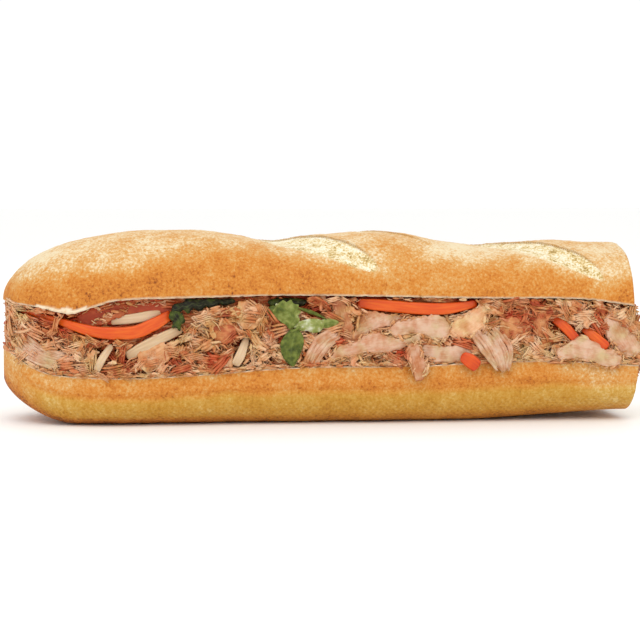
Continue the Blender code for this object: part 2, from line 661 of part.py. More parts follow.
def main():
    for item in list(bpy.data.objects):
        bpy.data.objects.remove(item)
    materials = {name: make_material(name, *look) for name, look in MATERIALS.items()}
    sandwich = bpy.data.objects.new("baguette_sandwich", None)
    bpy.context.scene.collection.objects.link(sandwich)

    meshes = {
        "bread_top": (loft([top_section(x) for x in stations()],
                           pole=(TIP_X, 0, TOP_RIM_LINE[0][1])), "crust"),
        "bread_bottom": (loft([bottom_section(x) for x in stations()],
                              pole=(TIP_X, 0, mix(KEEL_TIP_Z, BOTTOM_RIM_LINE[0][1], 0.7))), "crust"),
    }
    for name, spec in CARROTS.items():
        meshes[name] = (routed_piece(spec, CARROT_STEPS, polygon(STICK_SIDES)), "carrot")
    for name, spec in RADISHES.items():
        meshes[name] = (routed_piece(spec, RADISH_STEPS, polygon(STICK_SIDES)), "radish")
    for name, spec in SLICES.items():
        meshes[name] = (routed_piece(spec, SLICE_STEPS, polygon(SLICE_SIDES)), "chicken")
    others = [(BVHTree.FromBMesh(mesh), [vert.co.copy() for vert in mesh.verts]) for mesh, _ in meshes.values()]
    parts = [make_object(name, mesh, materials[look]) for name, (mesh, look) in meshes.items()]

    for name, spec in CORIANDER.items():
        sprig = make_sprig(name, spec, materials["coriander"])
        parts.append(sprig)
        world = bmesh.new()
        world.from_mesh(sprig.data)
        bmesh.ops.translate(world, verts=world.verts, vec=sprig.location)
        bmesh.ops.scale(world, vec=Vector((1, 1, 1)) / METRES, verts=world.verts)
        others.append((BVHTree.FromBMesh(world), [vert.co.copy() for vert in world.verts]))
        world.free()

    parts.append(make_heap(others, materials["chicken_shreds"]))
    for part in parts:
        part.parent = sandwich


main()
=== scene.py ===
import json
import math
import random

import bmesh
import bpy
import numpy as np
from mathutils import Matrix, Vector, noise
from mathutils.bvhtree import BVHTree

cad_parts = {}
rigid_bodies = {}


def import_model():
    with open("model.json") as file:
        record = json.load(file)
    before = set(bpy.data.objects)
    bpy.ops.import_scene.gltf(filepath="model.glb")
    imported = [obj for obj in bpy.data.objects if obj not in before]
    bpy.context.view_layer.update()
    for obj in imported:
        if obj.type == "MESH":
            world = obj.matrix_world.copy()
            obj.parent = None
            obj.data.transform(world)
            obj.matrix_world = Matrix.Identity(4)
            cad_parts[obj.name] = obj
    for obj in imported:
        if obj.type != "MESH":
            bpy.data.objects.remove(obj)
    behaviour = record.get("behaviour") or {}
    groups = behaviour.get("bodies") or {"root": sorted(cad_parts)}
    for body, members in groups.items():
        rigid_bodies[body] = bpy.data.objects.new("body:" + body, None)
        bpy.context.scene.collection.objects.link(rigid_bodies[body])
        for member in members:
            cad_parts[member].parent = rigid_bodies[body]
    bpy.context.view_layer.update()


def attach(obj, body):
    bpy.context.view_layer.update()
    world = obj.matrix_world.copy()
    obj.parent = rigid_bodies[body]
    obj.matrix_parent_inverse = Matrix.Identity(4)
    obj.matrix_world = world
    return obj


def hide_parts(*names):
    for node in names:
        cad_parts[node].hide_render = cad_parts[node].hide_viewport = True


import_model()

# Shapes are worked out in millimetres and turned into metres when a mesh is made.
# +X runs from the heel of the loaf to its cut end, -Y is the front, +Z is up.
mm = 0.001
front, back = -1.0, 1.0

loaf = {
    "tipX": -126.0, "cutX": 122.5, "halfWidth": 34.0, "heelLength": 54.0, "heelPower": 2.3, "sideWave": 0.6,
    "sideWaveSize": 19.0,
    "crestLine": [(-66, 74.6), (-50, 74.8), (-34, 72.6), (-18, 70.4), (0, 72.8), (31, 73.6), (50, 69.8),
                  (66, 68.2), (90, 70.0), (122.5, 69.0)],
    "topRimLine": [(-126, 47.6), (-113, 46.0), (-99, 43.4), (-91, 45.8), (-82, 48.4), (-50, 49.5),
                   (-11, 50.1), (59, 48.7), (100, 48.0), (122.5, 45.4)],
    "bottomRimLine": [(-126, 29.4), (-113, 22.0), (-105, 19.8), (-80, 18.7), (-50, 19.8), (-10, 22.4),
                      (30, 22.5), (83, 24.0), (122.5, 21.8)],
    "crestHeelLength": 60.0, "crestHeelPower": 2.0, "keelHeelLength": 27.0, "keelHeelPower": 1.5,
    "keelTipZ": 17.0, "keelRiseFrom": 50.0, "keelRise": 3.2, "leanFrom": 96.0, "bottomLean": 2.5,
    "domePower": 2.4, "halfArc": 46.0, "flatHalfWidth": 19.0, "shoulderShare": 0.68, "shoulderTuck": 1.0,
    "undersidePower": 2.2, "crustWave": 0.5, "crustWaveSize": 17.0,
    # the cut faces are a little hollow, the sawn end has open pores
    "cutSteps": 44, "hollow": 0.15, "hollowBumps": 0.35, "hollowSize": 4.0, "hollowEdge": 3.0,
    "endRings": 16, "poreDepth": 0.7, "poreSize": 2.6, "poreLevel": 0.1,
}


# Helpers for shapes
def ease(share):
    share = np.clip(share, 0.0, 1.0)
    return share * share * (3 - 2 * share)


def smoothLine(points, x):
    # a smooth line through (x, height) points, level beyond its ends
    px, pz = np.array(points, float).T
    slope = np.empty_like(px)
    slope[1:-1] = (pz[2:] - pz[:-2]) / (px[2:] - px[:-2])
    slope[0] = (pz[1] - pz[0]) / (px[1] - px[0])
    slope[-1] = (pz[-1] - pz[-2]) / (px[-1] - px[-2])
    x = np.clip(x, px[0], px[-1])
    i = np.clip(np.searchsorted(px, x, side="right") - 1, 0, len(px) - 2)
    gap = px[i + 1] - px[i]
    t = (x - px[i]) / gap
    return (pz[i] * (1 + 2 * t) * (1 - t) ** 2 + slope[i] * gap * t * (1 - t) ** 2
            + pz[i + 1] * t * t * (3 - 2 * t) + slope[i + 1] * gap * t * t * (t - 1))


def noiseAt(points, size, shift=0.0, octaves=1):
    # smooth noise from about -1 to 1, with bumps of that size in millimetres
    flat = np.asarray(points, float).reshape(-1, 3)
    total = np.zeros(len(flat))
    for k in range(octaves):
        scaled = flat * (2 ** k / size) + (shift + 17.3 * k)
        total += np.array([noise.noise(p) for p in scaled.tolist()]) / 2 ** k
    return total.reshape(np.asarray(points).shape[:-1])


def heel(x, length, power):
    t = np.clip((x - loaf["tipX"]) / length, 0.0, 1.0)
    return (1 - (1 - t) ** power) ** (1 / power)


def halfWidth(x):
    grown = ease((x - loaf["tipX"]) / loaf["heelLength"])
    wave = loaf["sideWave"] * np.sin(x / loaf["sideWaveSize"]) * grown
    return (loaf["halfWidth"] + wave) * heel(x, loaf["heelLength"], loaf["heelPower"])


def topRim(x):
    return smoothLine(loaf["topRimLine"], x)


def bottomRim(x):
    return smoothLine(loaf["bottomRimLine"], x)


def crest(x):
    tip = loaf["topRimLine"][0][1]
    rise = heel(x, loaf["crestHeelLength"], loaf["crestHeelPower"])
    return tip + (smoothLine(loaf["crestLine"], x) - tip) * rise


def keel(x):
    tipPart = loaf["keelTipZ"] * (1 - heel(x, loaf["keelHeelLength"], loaf["keelHeelPower"]))
    share = (x - loaf["keelRiseFrom"]) / (loaf["cutX"] - loaf["keelRiseFrom"])
    return tipPart + loaf["keelRise"] * ease(share)


def leanShare(x):
    # 0 to 1 along the last stretch before the cut end, which isn't sawn quite upright
    return ease((x - loaf["leanFrom"]) / (loaf["cutX"] - loaf["leanFrom"]))


def unit(vectors):
    return vectors / np.maximum(np.linalg.norm(vectors, axis=-1, keepdims=True), 1e-9)


def sidePoints(side, route):
    # route points are (x, z, out), with out beyond the loaf's widest line
    x, z, out = np.array(route, float).T
    return np.stack([x, side * (halfWidth(x) + out), z], -1)


def sideNormals(side, x):
    growth = halfWidth(x + 0.5) - halfWidth(x - 0.5)
    return unit(np.stack([-growth, np.full_like(growth, side), np.zeros_like(growth)], -1))


def smoothPath(points, steps):
    # points along a Catmull-Rom curve through the given ones
    points = np.asarray(points, float)
    ends = np.vstack([2 * points[0] - points[1], points, 2 * points[-1] - points[-2]])
    place = np.linspace(0, len(points) - 1, steps + 1)
    i = np.minimum(place.astype(int), len(points) - 2)
    t = (place - i)[:, None]
    a, b, c, d = ends[i], ends[i + 1], ends[i + 2], ends[i + 3]
    return 0.5 * (2 * b + (c - a) * t + (2 * a - 5 * b + 4 * c - d) * t * t
                  + (3 * b - a - 3 * c + d) * t ** 3)


def pathLength(path):
    return np.linalg.norm(np.diff(path, axis=0), axis=1).sum()


def pathFrame(path, facing):
    # directions along the path, across it and outward, at each of its points
    along = unit(np.gradient(path, axis=0))
    across = unit(np.cross(facing, along))
    return along, across, np.cross(along, across)


def turnsRound(count):
    return np.linspace(0, 2 * math.pi, count, endpoint=False)


def softSquare(turn, power):
    # across and outward share of a section at each turn round it: power 1 is a circle, 0 a square
    return [np.sign(wave) * np.abs(wave) ** power for wave in (np.cos(turn), np.sin(turn))]


def endRounding(fromEnd, radius, least):
    # the share of its full size that a piece has at some distance from its end
    return np.sqrt(np.clip(1 - (1 - np.clip(fromEnd / radius, 0, 1)) ** 2, least, 1))


def gridFaces(rings, count, closed=True):
    # quads between rings of points; when not closed, none from the last point of a ring to its first
    r, k = np.meshgrid(np.arange(rings - 1), np.arange(count if closed else count - 1), indexing="ij")
    n = (k + 1) % count
    this, following = r * count, (r + 1) * count
    return np.stack([this + k, this + n, following + n, following + k], -1).reshape(-1, 4).tolist()


def fan(first, count, pole, flip=False):
    # triangles between a ring of points and its pole
    ring = list(range(first, first + count))
    return [(pole, b, a) if flip else (pole, a, b) for a, b in zip(ring, ring[1:] + ring[:1])]


def withPoles(rings):
    # the points of all rings, then the middle of the first ring and of the last
    return np.vstack([rings.reshape(-1, 3), rings[0].mean(0), rings[-1].mean(0)])


def closedSkin(rings):
    # a closed skin over rings of equal length, each end drawn in to a pole
    count = rings.shape[1]
    total = len(rings) * count
    faces = gridFaces(len(rings), count)
    faces += fan(0, count, total) + fan(total - count, count, total + 1, True)
    return withPoles(rings), faces


def outlineStrip(outline, steps):
    # An outline of (x, z) points measured along its own longest direction: its middle, that direction, and
    # the lower and upper edge at each step along it
    points = np.asarray(outline, float)
    count = len(points)
    ring = smoothPath(np.vstack([points[-2:], points, points[:3]]), (count + 4) * 8)[16:16 + count * 8]
    middle = ring.mean(0)
    axis = np.linalg.svd(ring - middle)[2][0]
    axis = axis * np.sign(axis[0] + 1e-6)
    t, v = (ring - middle) @ axis, (ring - middle) @ np.array([-axis[1], axis[0]])
    share = 0.002 + 0.996 * (1 - np.cos(np.linspace(0, math.pi, steps + 1))) / 2
    ts = t.min() + (t.max() - t.min()) * share
    nextT, nextV = np.roll(t, -1), np.roll(v, -1)
    crosses = (t - ts[:, None]) * (nextT - ts[:, None]) <= 0
    gap = np.where(np.abs(nextT - t) < 1e-9, 1e-9, nextT - t)
    at = v + (ts[:, None] - t) / gap * (nextV - v)
    low, high = np.where(crosses, at, np.inf).min(1), np.where(crosses, at, -np.inf).max(1)
    return middle, axis, ts, low, high


def outlinePoints(side, middle, axis, t, v, out):
    # points at t along and v across an outline's own direction, out from the side of the loaf
    x = middle[0] + t * axis[0] - v * axis[1]
    z = middle[1] + t * axis[1] + v * axis[0]
    return np.stack([x, side * (halfWidth(x) + out), z], -1)


def joined(parts):
    # several vertex and face lists as one
    verts, faces, first = [], [], 0
    for partVerts, partFaces in parts:
        verts.append(partVerts)
        faces += [tuple(int(i) + first for i in face) for face in partFaces]
        first += len(partVerts)
    return np.vstack(verts), faces


# Helpers for meshes and materials
def newMesh(name, verts, faces, attributes):
    # verts in millimetres; attributes hold one number or one vector for each of them
    data = bpy.data.meshes.new(name)
    data.from_pydata((verts * mm).tolist(), [], faces)
    for key, values in attributes.items():
        values = np.asarray(values, np.float32)
        flat = values.ndim == 1
        attribute = data.attributes.new(key, "FLOAT" if flat else "FLOAT_VECTOR", "POINT")
        attribute.data.foreach_set("value" if flat else "vector", values.ravel())
    mesh = bmesh.new()
    mesh.from_mesh(data)
    bmesh.ops.recalc_face_normals(mesh, faces=mesh.faces)
    mesh.to_mesh(data)
    mesh.free()
    data.shade_smooth()
    return data


def addPiece(name, data, material, node):
    # a finished piece: its place is in its mesh, and it stands for the CAD node
    piece = bpy.data.objects.new(name, data)
    bpy.context.scene.collection.objects.link(piece)
    data.materials.clear()
    data.materials.append(material)
    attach(piece, "root")
    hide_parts(node)
    return piece


def linearColour(code):
    # sRGB hex to linear red, green, blue, alpha
    channels = [int(code[k:k + 2], 16) / 255 for k in (1, 3, 5)]
    return (*[c / 12.92 if c <= 0.04045 else ((c + 0.055) / 1.055) ** 2.4 for c in channels], 1.0)


def setInputs(node, inputs):
    # an input is a value or the socket that feeds it
    for key, value in inputs.items():
        if isinstance(value, bpy.types.NodeSocket):
            node.id_data.links.new(value, node.inputs[key])
        else:
            node.inputs[key].default_value = value


def addNode(tree, kind, settings=None, inputs=None, stops=None):
    # one node with its settings, its inputs and the (place, colour) stops of a ramp
    node = tree.nodes.new(kind)
    for key, value in (settings or {}).items():
        setattr(node, key, value)
    setInputs(node, inputs or {})
    if stops:
        while len(node.color_ramp.elements) < len(stops):
            node.color_ramp.elements.new(1.0)
        for element, (place, code) in zip(node.color_ramp.elements, stops):
            element.position = place
            element.color = linearColour(code)
    return node


def newMaterial(name):
    material = bpy.data.materials.new(name)
    material.use_nodes = True
    return material, material.node_tree, material.node_tree.nodes["Principled BSDF"]


# Materials
def bakedLoaf():
    # Wheat loaf, baked on a tray. The crust is dry and matt with a grain of tiny blisters, floury where the
    # slashes opened, golden where it leaned on the tray, and the crumb is pale and full of holes. The
    # amounts of bake, bloom, ear, crumb, gold and dots are on the mesh. On the upper half the bake falls
    # towards the crest, partly paler crust and partly painted highlight from the light above; the ear is
    # the flap's darker rim with painted shadow under it, and the crumb's holes are painted darker as shade.
    material, tree, shader = newMaterial("bakedBaguetteCrust")
    spot = addNode(tree, "ShaderNodeTexCoord").outputs["Object"]
    streaked = addNode(tree, "ShaderNodeMapping", {}, {"Vector": spot,
                                                       "Scale": (1.0, 1.0, 0.12)}).outputs[0]
    warp = addNode(tree, "ShaderNodeTexNoise", {},
                   {"Vector": spot, "Scale": 1 / (4.0 * mm), "Detail": 3.0}).outputs["Color"]
    warped = addNode(tree, "ShaderNodeVectorMath", {"operation": "MULTIPLY_ADD"},
                     {0: warp, 1: (5 * mm, 5 * mm, 5 * mm), 2: spot}).outputs[0]
    read = {key: addNode(tree, "ShaderNodeAttribute", {"attribute_name": key}).outputs["Fac"]
            for key in ("bake", "bloom", "ear", "crumb", "gold", "dots")}
    read["hole"] = addNode(tree, "ShaderNodeTexVoronoi", {"feature": "F1"},
                           {"Vector": warped, "Scale": 1 / (3.0 * mm),
                            "Randomness": 1.0}).outputs["Distance"]
    # noise patterns: where, size of the bumps in mm, detail, roughness
    for key, place, size, detail, roughness in (
            ("grain", spot, 1.0, 3.0, 0.7), ("blister", spot, 2.4, 2.0, 0.5),
            ("mottle", spot, 9.0, 3.0, 0.5), ("streak", streaked, 1.6, 3.0, 0.5),
            ("flour", spot, 4.0, 2.0, 0.5), ("fleck", spot, 0.8, 2.0, 0.6),
            ("spread", spot, 3.6, 4.0, 0.5)):
        read[key] = addNode(tree, "ShaderNodeTexNoise", {}, {
            "Vector": place, "Scale": 1 / (size * mm), "Detail": detail,
            "Roughness": roughness}).outputs["Fac"]
    # sums of them: the number to start from, then each pattern and its share
    for key, total, shares in (
            ("level", -1.05, {"bake": 1.0, "blister": 0.35, "mottle": 0.55, "grain": 1.2}),
            ("leaned", -0.3, {"level": 0.8, "streak": 0.5}), ("speck", -0.35,
                                                              {"fleck": 0.95, "flour": 0.75}),
            ("open", -2.0, {"bloom": 1.6, "mottle": 0.7, "grain": 2.2}),
            ("pores", -0.82, {"spread": 1.7, "hole": 0.9}), ("relief", 0.0,
                                                             {"grain": 1.0, "blister": 1.2})):
        for pattern, share in shares.items():
            total = addNode(tree, "ShaderNodeMath", {"operation": "MULTIPLY_ADD"},
                            {0: read[pattern], 1: share, 2: total}).outputs[0]
        read[key] = total
    # colours along four of the sums: baked crust, paler towards the crest partly as painted highlight, the
    # golden side, flour in the slashes and the crumb, painted darker in its holes as shade
    crust, golden, floury, pale = [
        addNode(tree, "ShaderNodeValToRGB", {}, {"Fac": read[key]}, stops=stops).outputs["Color"]
        for key, stops in (
            ("level", [(0.0, "#E2D1AC"), (0.16, "#DCBD8E"), (0.32, "#D09E5C"), (0.58, "#CA8230"),
                       (0.78, "#BC6E22"), (1.0, "#6B3009")]),
            ("leaned", [(0.0, "#DCC284"), (0.3, "#C79B48"), (0.55, "#BD882C"), (1.0, "#8E5014")]),
            ("speck", [(0.27, "#9C8048"), (0.36, "#C9A868"), (0.47, "#E0CD9C"), (0.62, "#EEE6CF")]),
            ("pores", [(0.0, "#C39B70"), (0.1, "#D8B892"), (0.26, "#E6CFAE"), (0.8, "#ECDCC2")]))]
    flouryShare = addNode(tree, "ShaderNodeMapRange", {},
                          {"Value": read["open"], "From Min": 0.25, "From Max": 0.7}).outputs[0]
    # the ear colour is the flap's darker rim with painted shadow under it
    colour = crust
    for share, other in ((read["gold"], golden), (flouryShare, floury),
                         (read["ear"], linearColour("#8E6128")), (read["dots"], linearColour("#84481A")),
                         (read["crumb"], pale)):
        colour = addNode(tree, "ShaderNodeMix", {"data_type": "RGBA"},
                         {0: share, 6: colour, 7: other}).outputs[2]
    relief = addNode(tree, "ShaderNodeMix", {"data_type": "FLOAT"},
                     {0: read["crumb"], 2: read["relief"], 3: read["pores"]}).outputs[0]
    bump = addNode(tree, "ShaderNodeBump", {}, {"Strength": 0.8, "Distance": 0.4 * mm, "Height": relief})
    setInputs(shader, {"Base Color": colour, "Normal": bump.outputs["Normal"], "Roughness": 0.7,
                       "IOR": 1.35})
    return material


def cookedMeat(name, stops, roughness):
    # Cooked chicken, torn along its fibres: moist, a little translucent, streaked lengthways. tone runs from
    # pale breast to brown leg meat; the depth value is painted shade, none at the surface and most in the
    # heap's dark middle; lane is (along, across) in mm.
    material, tree, shader = newMaterial(name)
    spot = addNode(tree, "ShaderNodeTexCoord").outputs["Object"]
    tone, deep, lane = [addNode(tree, "ShaderNodeAttribute", {"attribute_name": key}).outputs[output]
                        for key, output in (("tone", "Fac"), ("deep", "Fac"), ("lane", "Vector"))]
    fibre = addNode(tree, "ShaderNodeMapping", {}, {"Vector": lane, "Scale": (0.3, 2.2, 1.0)}).outputs[0]
    streak, blotch, patch = [
        addNode(tree, "ShaderNodeTexNoise", {},
                {"Vector": place, "Scale": scale, "Detail": detail}).outputs["Fac"]
        for place, scale, detail in ((fibre, 1.0, 3.0), (spot, 1 / (3.2 * mm), 3.0),
                                     (spot, 1 / (7.0 * mm), 2.0))]
    level = -0.81
    for pattern, share in ((tone, 1.0), (streak, 0.42), (blotch, 1.2)):
        level = addNode(tree, "ShaderNodeMath", {"operation": "MULTIPLY_ADD"},
                        {0: pattern, 1: share, 2: level}).outputs[0]
    colour = addNode(tree, "ShaderNodeValToRGB", {}, {"Fac": level}, stops=stops).outputs["Color"]
    patch = addNode(tree, "ShaderNodeMapRange", {},
                    {"Value": patch, "From Min": 0.45, "From Max": 0.68}).outputs[0]
    # cooler patches, then painted shade in red-brown where the meat lies deep in the heap
    for share, blend, other in ((patch, "MULTIPLY", "#F0F9DC"), (deep, "MIX", "#C03A12")):
        colour = addNode(tree, "ShaderNodeMix", {"data_type": "RGBA", "blend_type": blend},
                         {0: share, 6: colour, 7: linearColour(other)}).outputs[2]
    bump = addNode(tree, "ShaderNodeBump", {}, {"Strength": 0.8, "Distance": 0.25 * mm, "Height": streak})
    setInputs(shader, {"Base Color": colour, "Normal": bump.outputs["Normal"], "Roughness": roughness,
                       "IOR": 1.42, "Subsurface Weight": 0.12, "Subsurface Radius": (1.0, 0.45, 0.25),
                       "Subsurface Scale": 1.5 * mm})
    return material


def cutVegetable(name, stops, roughness):
    # A stick of raw vegetable, wet from its pickle: glossy, a little translucent, faintly grained lengthways.
    material, tree, shader = newMaterial(name)
    tone, lane = [addNode(tree, "ShaderNodeAttribute", {"attribute_name": key}).outputs[output]
                  for key, output in (("tone", "Fac"), ("lane", "Vector"))]
    fibre = addNode(tree, "ShaderNodeMapping", {}, {"Vector": lane, "Scale": (0.12, 1.3, 1.0)}).outputs[0]
    streak = addNode(tree, "ShaderNodeTexNoise", {},
                     {"Vector": fibre, "Scale": 1.0, "Detail": 2.0}).outputs["Fac"]
    level = -0.35
    for pattern, share in ((tone, 1.0), (streak, 0.7)):
        level = addNode(tree, "ShaderNodeMath", {"operation": "MULTIPLY_ADD"},
                        {0: pattern, 1: share, 2: level}).outputs[0]
    colour = addNode(tree, "ShaderNodeValToRGB", {}, {"Fac": level}, stops=stops).outputs["Color"]
    bump = addNode(tree, "ShaderNodeBump", {}, {"Strength": 0.35, "Distance": 0.12 * mm, "Height": streak})
    setInputs(shader, {"Base Color": colour, "Normal": bump.outputs["Normal"], "Roughness": roughness,
                       "IOR": 1.38, "Subsurface Weight": 0.22, "Subsurface Radius": (1.0, 0.5, 0.2),
                       "Subsurface Scale": 1.6 * mm})
    return material


def freshLeaf():
    # Coriander leaf: soft satin green, paler along the veins and on its underside, by vein and tone; the
    # lowest tones are painted shade on leaves under the crust, and one leaflet's pale tone is partly a
    # painted highlight.
    material, tree, shader = newMaterial("freshCorianderLeaf")
    spot = addNode(tree, "ShaderNodeTexCoord").outputs["Object"]
    tone, vein = [addNode(tree, "ShaderNodeAttribute", {"attribute_name": key}).outputs["Fac"]
                  for key in ("tone", "vein")]
    cells = addNode(tree, "ShaderNodeTexNoise", {},
                    {"Vector": spot, "Scale": 1 / (1.4 * mm), "Detail": 3.0}).outputs["Fac"]
    level = -0.25
    for pattern, share in ((tone, 1.0), (cells, 0.5)):
        level = addNode(tree, "ShaderNodeMath", {"operation": "MULTIPLY_ADD"},
                        {0: pattern, 1: share, 2: level}).outputs[0]
    green = addNode(tree, "ShaderNodeValToRGB", {}, {"Fac": level}, stops=[
        (0.0, "#161404"), (0.25, "#3E4A12"), (0.5, "#66702A"), (0.75, "#8E9450"),
        (1.0, "#CDCFB4")]).outputs["Color"]
    veinShare = addNode(tree, "ShaderNodeMath", {"operation": "MULTIPLY"}, {0: vein, 1: 0.16}).outputs[0]
    colour = addNode(tree, "ShaderNodeMix", {"data_type": "RGBA"},
                     {0: veinShare, 6: green, 7: linearColour("#98A660")}).outputs[2]
    bump = addNode(tree, "ShaderNodeBump", {}, {"Strength": 0.5, "Distance": 0.15 * mm, "Height": cells})
    setInputs(shader, {"Base Color": colour, "Normal": bump.outputs["Normal"], "Roughness": 0.6,
                       "IOR": 1.33, "Subsurface Weight": 0.15, "Subsurface Radius": (0.5, 1.0, 0.2),
                       "Subsurface Scale": 0.8 * mm})
    return material


loafMaterial = bakedLoaf()
shredMaterial = cookedMeat("shreddedCookedChicken", [
    (0.0, "#E0B68E"), (0.22, "#D49E72"), (0.48, "#C6844F"), (0.74, "#AE5A2E"), (1.0, "#8C3814")], 0.52)
sliceMaterial = cookedMeat("slicedCookedChicken", [
    (0.0, "#D3AE92"), (0.26, "#C69474"), (0.5, "#B8764A"), (0.78, "#A0522A"), (1.0, "#7E3816")], 0.48)
carrotMaterial = cutVegetable("pickledCarrotStick", [
    (0.0, "#E2711F"), (0.35, "#D25010"), (0.7, "#BA360E"), (1.0, "#88200A")], 0.34)
radishMaterial = cutVegetable("pickledRadishStick", [
    (0.0, "#DFC9A8"), (0.4, "#CDB08C"), (0.8, "#B28E68"), (1.0, "#8E6842")], 0.38)
leafMaterial = freshLeaf()
print("materials made")


# The loaf
topHalf = {
    "heelStations": 128, "stations": 310, "crustSteps": 150, "setBack": 2.2, "topLean": 0.7,
    "grain": 0.16, "fineGrain": 1.7, "coarseGrain": 3.6, "ragged": 0.28, "raggedSize": 2.2,
    "slashHalfLength": 35.0, "slashDepth": 1.5, "earRoot": 0.3, "earHeight": 0.65, "earRamp": 0.45,
    "earWidth": 5.0, "earShadow": 0.9, "overhang": 0.4, "overhangWidth": 2.2, "rimHold": 4.0,
    "slashes": [
        {"x": -6.4, "s": -14.0, "angle": -41.0, "halfWidth": 8.0, "open": 1.0, "floury": 1.0},
        {"x": 20.0, "s": -1.0, "angle": -41.0, "halfWidth": 4.0, "open": 0.55, "floury": 0.5},
        {"x": 84.0, "s": -15.0, "angle": -41.0, "halfWidth": 7.5, "open": 1.0, "floury": 1.0},
    ],
    "tornRim": {"x": -102.0, "reach": 12.0, "height": 2.0},  # a flap of crumb shows above the cut
    # height at which the front of the crust turns from orange to pale, partly paler crust and partly painted
    # highlight from the light above, and how softly
    "paleAndHighlightLine": [(-113, 55.5), (-100, 57.8), (-80, 59.0), (-66, 63.6), (-55, 66.4), (-31, 66.8),
                 (-19, 65.6), (-8, 63.0), (4, 61.5), (16, 58.4), (27, 57.6), (39, 62.6), (62, 62.5),
                 (74, 61.3), (86, 60.0), (97, 56.6), (109, 52.7), (122, 54.0)],
    "paleAndHighlightWidth": 9.5, "paleAndHighlightBake": 0.2, "orangeBake": 0.42,
    # lighter and darker patches: x, height, radius, how much browner
    "patches": [(-83, 61.5, 9, 0.10), (-113, 65, 9, -0.13), (-52, 71, 13, 0.05), (32, 66, 8, 0.24),
                (40, 57.5, 8, -0.12), (54, 67.5, 11, -0.16), (-108, 58, 10, 0.05)],
}


def stations(spec):
    # x of each section: crowded in the heel, then even
    shoulder = loaf["tipX"] + loaf["heelLength"]
    share = np.arange(1, spec["heelStations"] + 1) / spec["heelStations"]
    near = loaf["tipX"] + loaf["heelLength"] * share ** 2.2
    far = np.linspace(shoulder, loaf["cutX"], spec["stations"] + 1)[1:]
    return np.concatenate([near, far])


def slashRelief(x, s):
    # height over the crust, bloom and ear of the slashes, and how far the crust there is pulled over them;
    # the ear mark is the flap's darker rim with painted shadow under it
    spec = topHalf
    height, bloom, ear, pullX, pullS = np.zeros((5, *x.shape))
    for slash in spec["slashes"]:
        turn = math.radians(slash["angle"])
        dx, ds = x - slash["x"], s - slash["s"]
        along = (dx * math.cos(turn) + ds * math.sin(turn)) / spec["slashHalfLength"]
        across = ds * math.cos(turn) - dx * math.sin(turn)
        room = np.clip(1 - along * along, 0.0, 1.0)
        gape = np.maximum(slash["halfWidth"] * room ** 0.7, 1e-3)
        strength = slash["open"] * room ** 0.5
        place, past = across / gape, across - gape
        floor = (spec["slashDepth"] - spec["earRoot"]) * ease(place)
        floor -= spec["slashDepth"] * ease((place + 1) / 1.1)
        lip = spec["earHeight"] * np.clip(1 - (past - spec["earRamp"]) / spec["earWidth"], 0, 1) ** 2
        ramp = ease(past / spec["earRamp"])
        upTo = floor * (1 - ramp) + spec["earHeight"] * ramp
        height += strength * np.where(past < spec["earRamp"], upTo, lip)
        inside = ease((place + 1.35) / 0.8) * (1 - ease((past + 0.1) / 0.4))
        bloom = np.maximum(bloom, inside * ease(strength * 1.7) * slash["floury"])
        # the flap's dark edge, its darker rim with painted shadow under it, is seen along its upper part and
        # fades towards its lower right end
        shadow = np.exp(-((past - 0.12) / 0.3) ** 2) * ease(strength * 1.6) * ease((0.95 - along) / 0.6)
        ear = np.maximum(ear, shadow)
        pull = spec["overhang"] * strength * np.clip(1 - np.abs(past - 0.7) / spec["overhangWidth"], 0, 1)
        pullX += pull * math.sin(turn)
        pullS -= pull * math.cos(turn)
    return height, bloom, spec["earShadow"] * ear, pullX, pullS


def crustPoint(x, s):
    # the smooth crust at x and at s round it from the crest
    theta = np.clip((s / loaf["halfArc"] + 1) * math.pi / 2, 0, math.pi)
    rim = topRim(x)
    height = crest(x) - rim
    power = 2 / loaf["domePower"]
    y = -halfWidth(x) * np.sign(np.cos(theta)) * np.abs(np.cos(theta)) ** power
    rise = height * np.sin(theta) ** power
    return y, rise, height, rim


def cutFace(xs, start, end, inward, shift):
    # the face that the knife left, from the back rim to the front one
    share = np.linspace(0, 1, loaf["cutSteps"] + 2)[1:-1]
    cut = start[:, None] + (end - start)[:, None] * share[None, :, None]
    inner = ease(np.minimum(share, 1 - share) * 2 * halfWidth(xs)[:, None] / loaf["hollowEdge"])
    bumps = np.abs(noiseAt(cut, loaf["hollowSize"], shift, 2))
    tipFade = ease((xs[:, None] - loaf["tipX"]) / 6)
    cut[..., 2] += inward * (inner * (loaf["hollow"] + loaf["hollowBumps"] * bumps) * tipFade)
    return cut


def loafSkin(name, outside, cut, tip, shift, looks):
    # The closed skin of one half, with a pole at its tip and the sawn end drawn in to its middle. looks has
    # for each attribute its values on the outside, then on the cut, the sawn end, the tip and that middle.
    rings = np.concatenate([outside, cut], 1)
    middle = rings[-1].mean(0)
    shares = 1 - (np.arange(1, loaf["endRings"]) / loaf["endRings"]) ** 1.1
    sawn = middle + (rings[-1] - middle)[None] * shares[:, None, None]
    pores = np.clip(noiseAt(sawn, loaf["poreSize"], shift) - loaf["poreLevel"], 0, 1)
    sawn[..., 0] -= loaf["poreDepth"] * pores * ease((1 - shares) * 8)[:, None]
    allRings = np.concatenate([rings, sawn])
    count = rings.shape[1]
    total = len(allRings) * count
    faces = gridFaces(len(allRings), count)
    faces += fan(0, count, total) + fan(total - count, count, total + 1, True)
    crumbShare = ease((1 - shares) * 14)[:, None]
    attributes = {key: np.zeros(total + 2) for key in ("bake", "bloom", "ear", "crumb", "gold", "dots")}
    for key, (values, onCut, onSawn, atTip, atMiddle) in looks.items():
        onRings = np.concatenate([values, np.full(cut.shape[:2], onCut)], 1)
        onSawn = onSawn * (crumbShare if key == "crumb" else 1.0) * np.ones(sawn.shape[:2])
        attributes[key] = np.concatenate([onRings.ravel(), onSawn.ravel(), [atTip, atMiddle]])
    return newMesh(name, np.vstack([allRings.reshape(-1, 3), tip, middle]), faces, attributes)


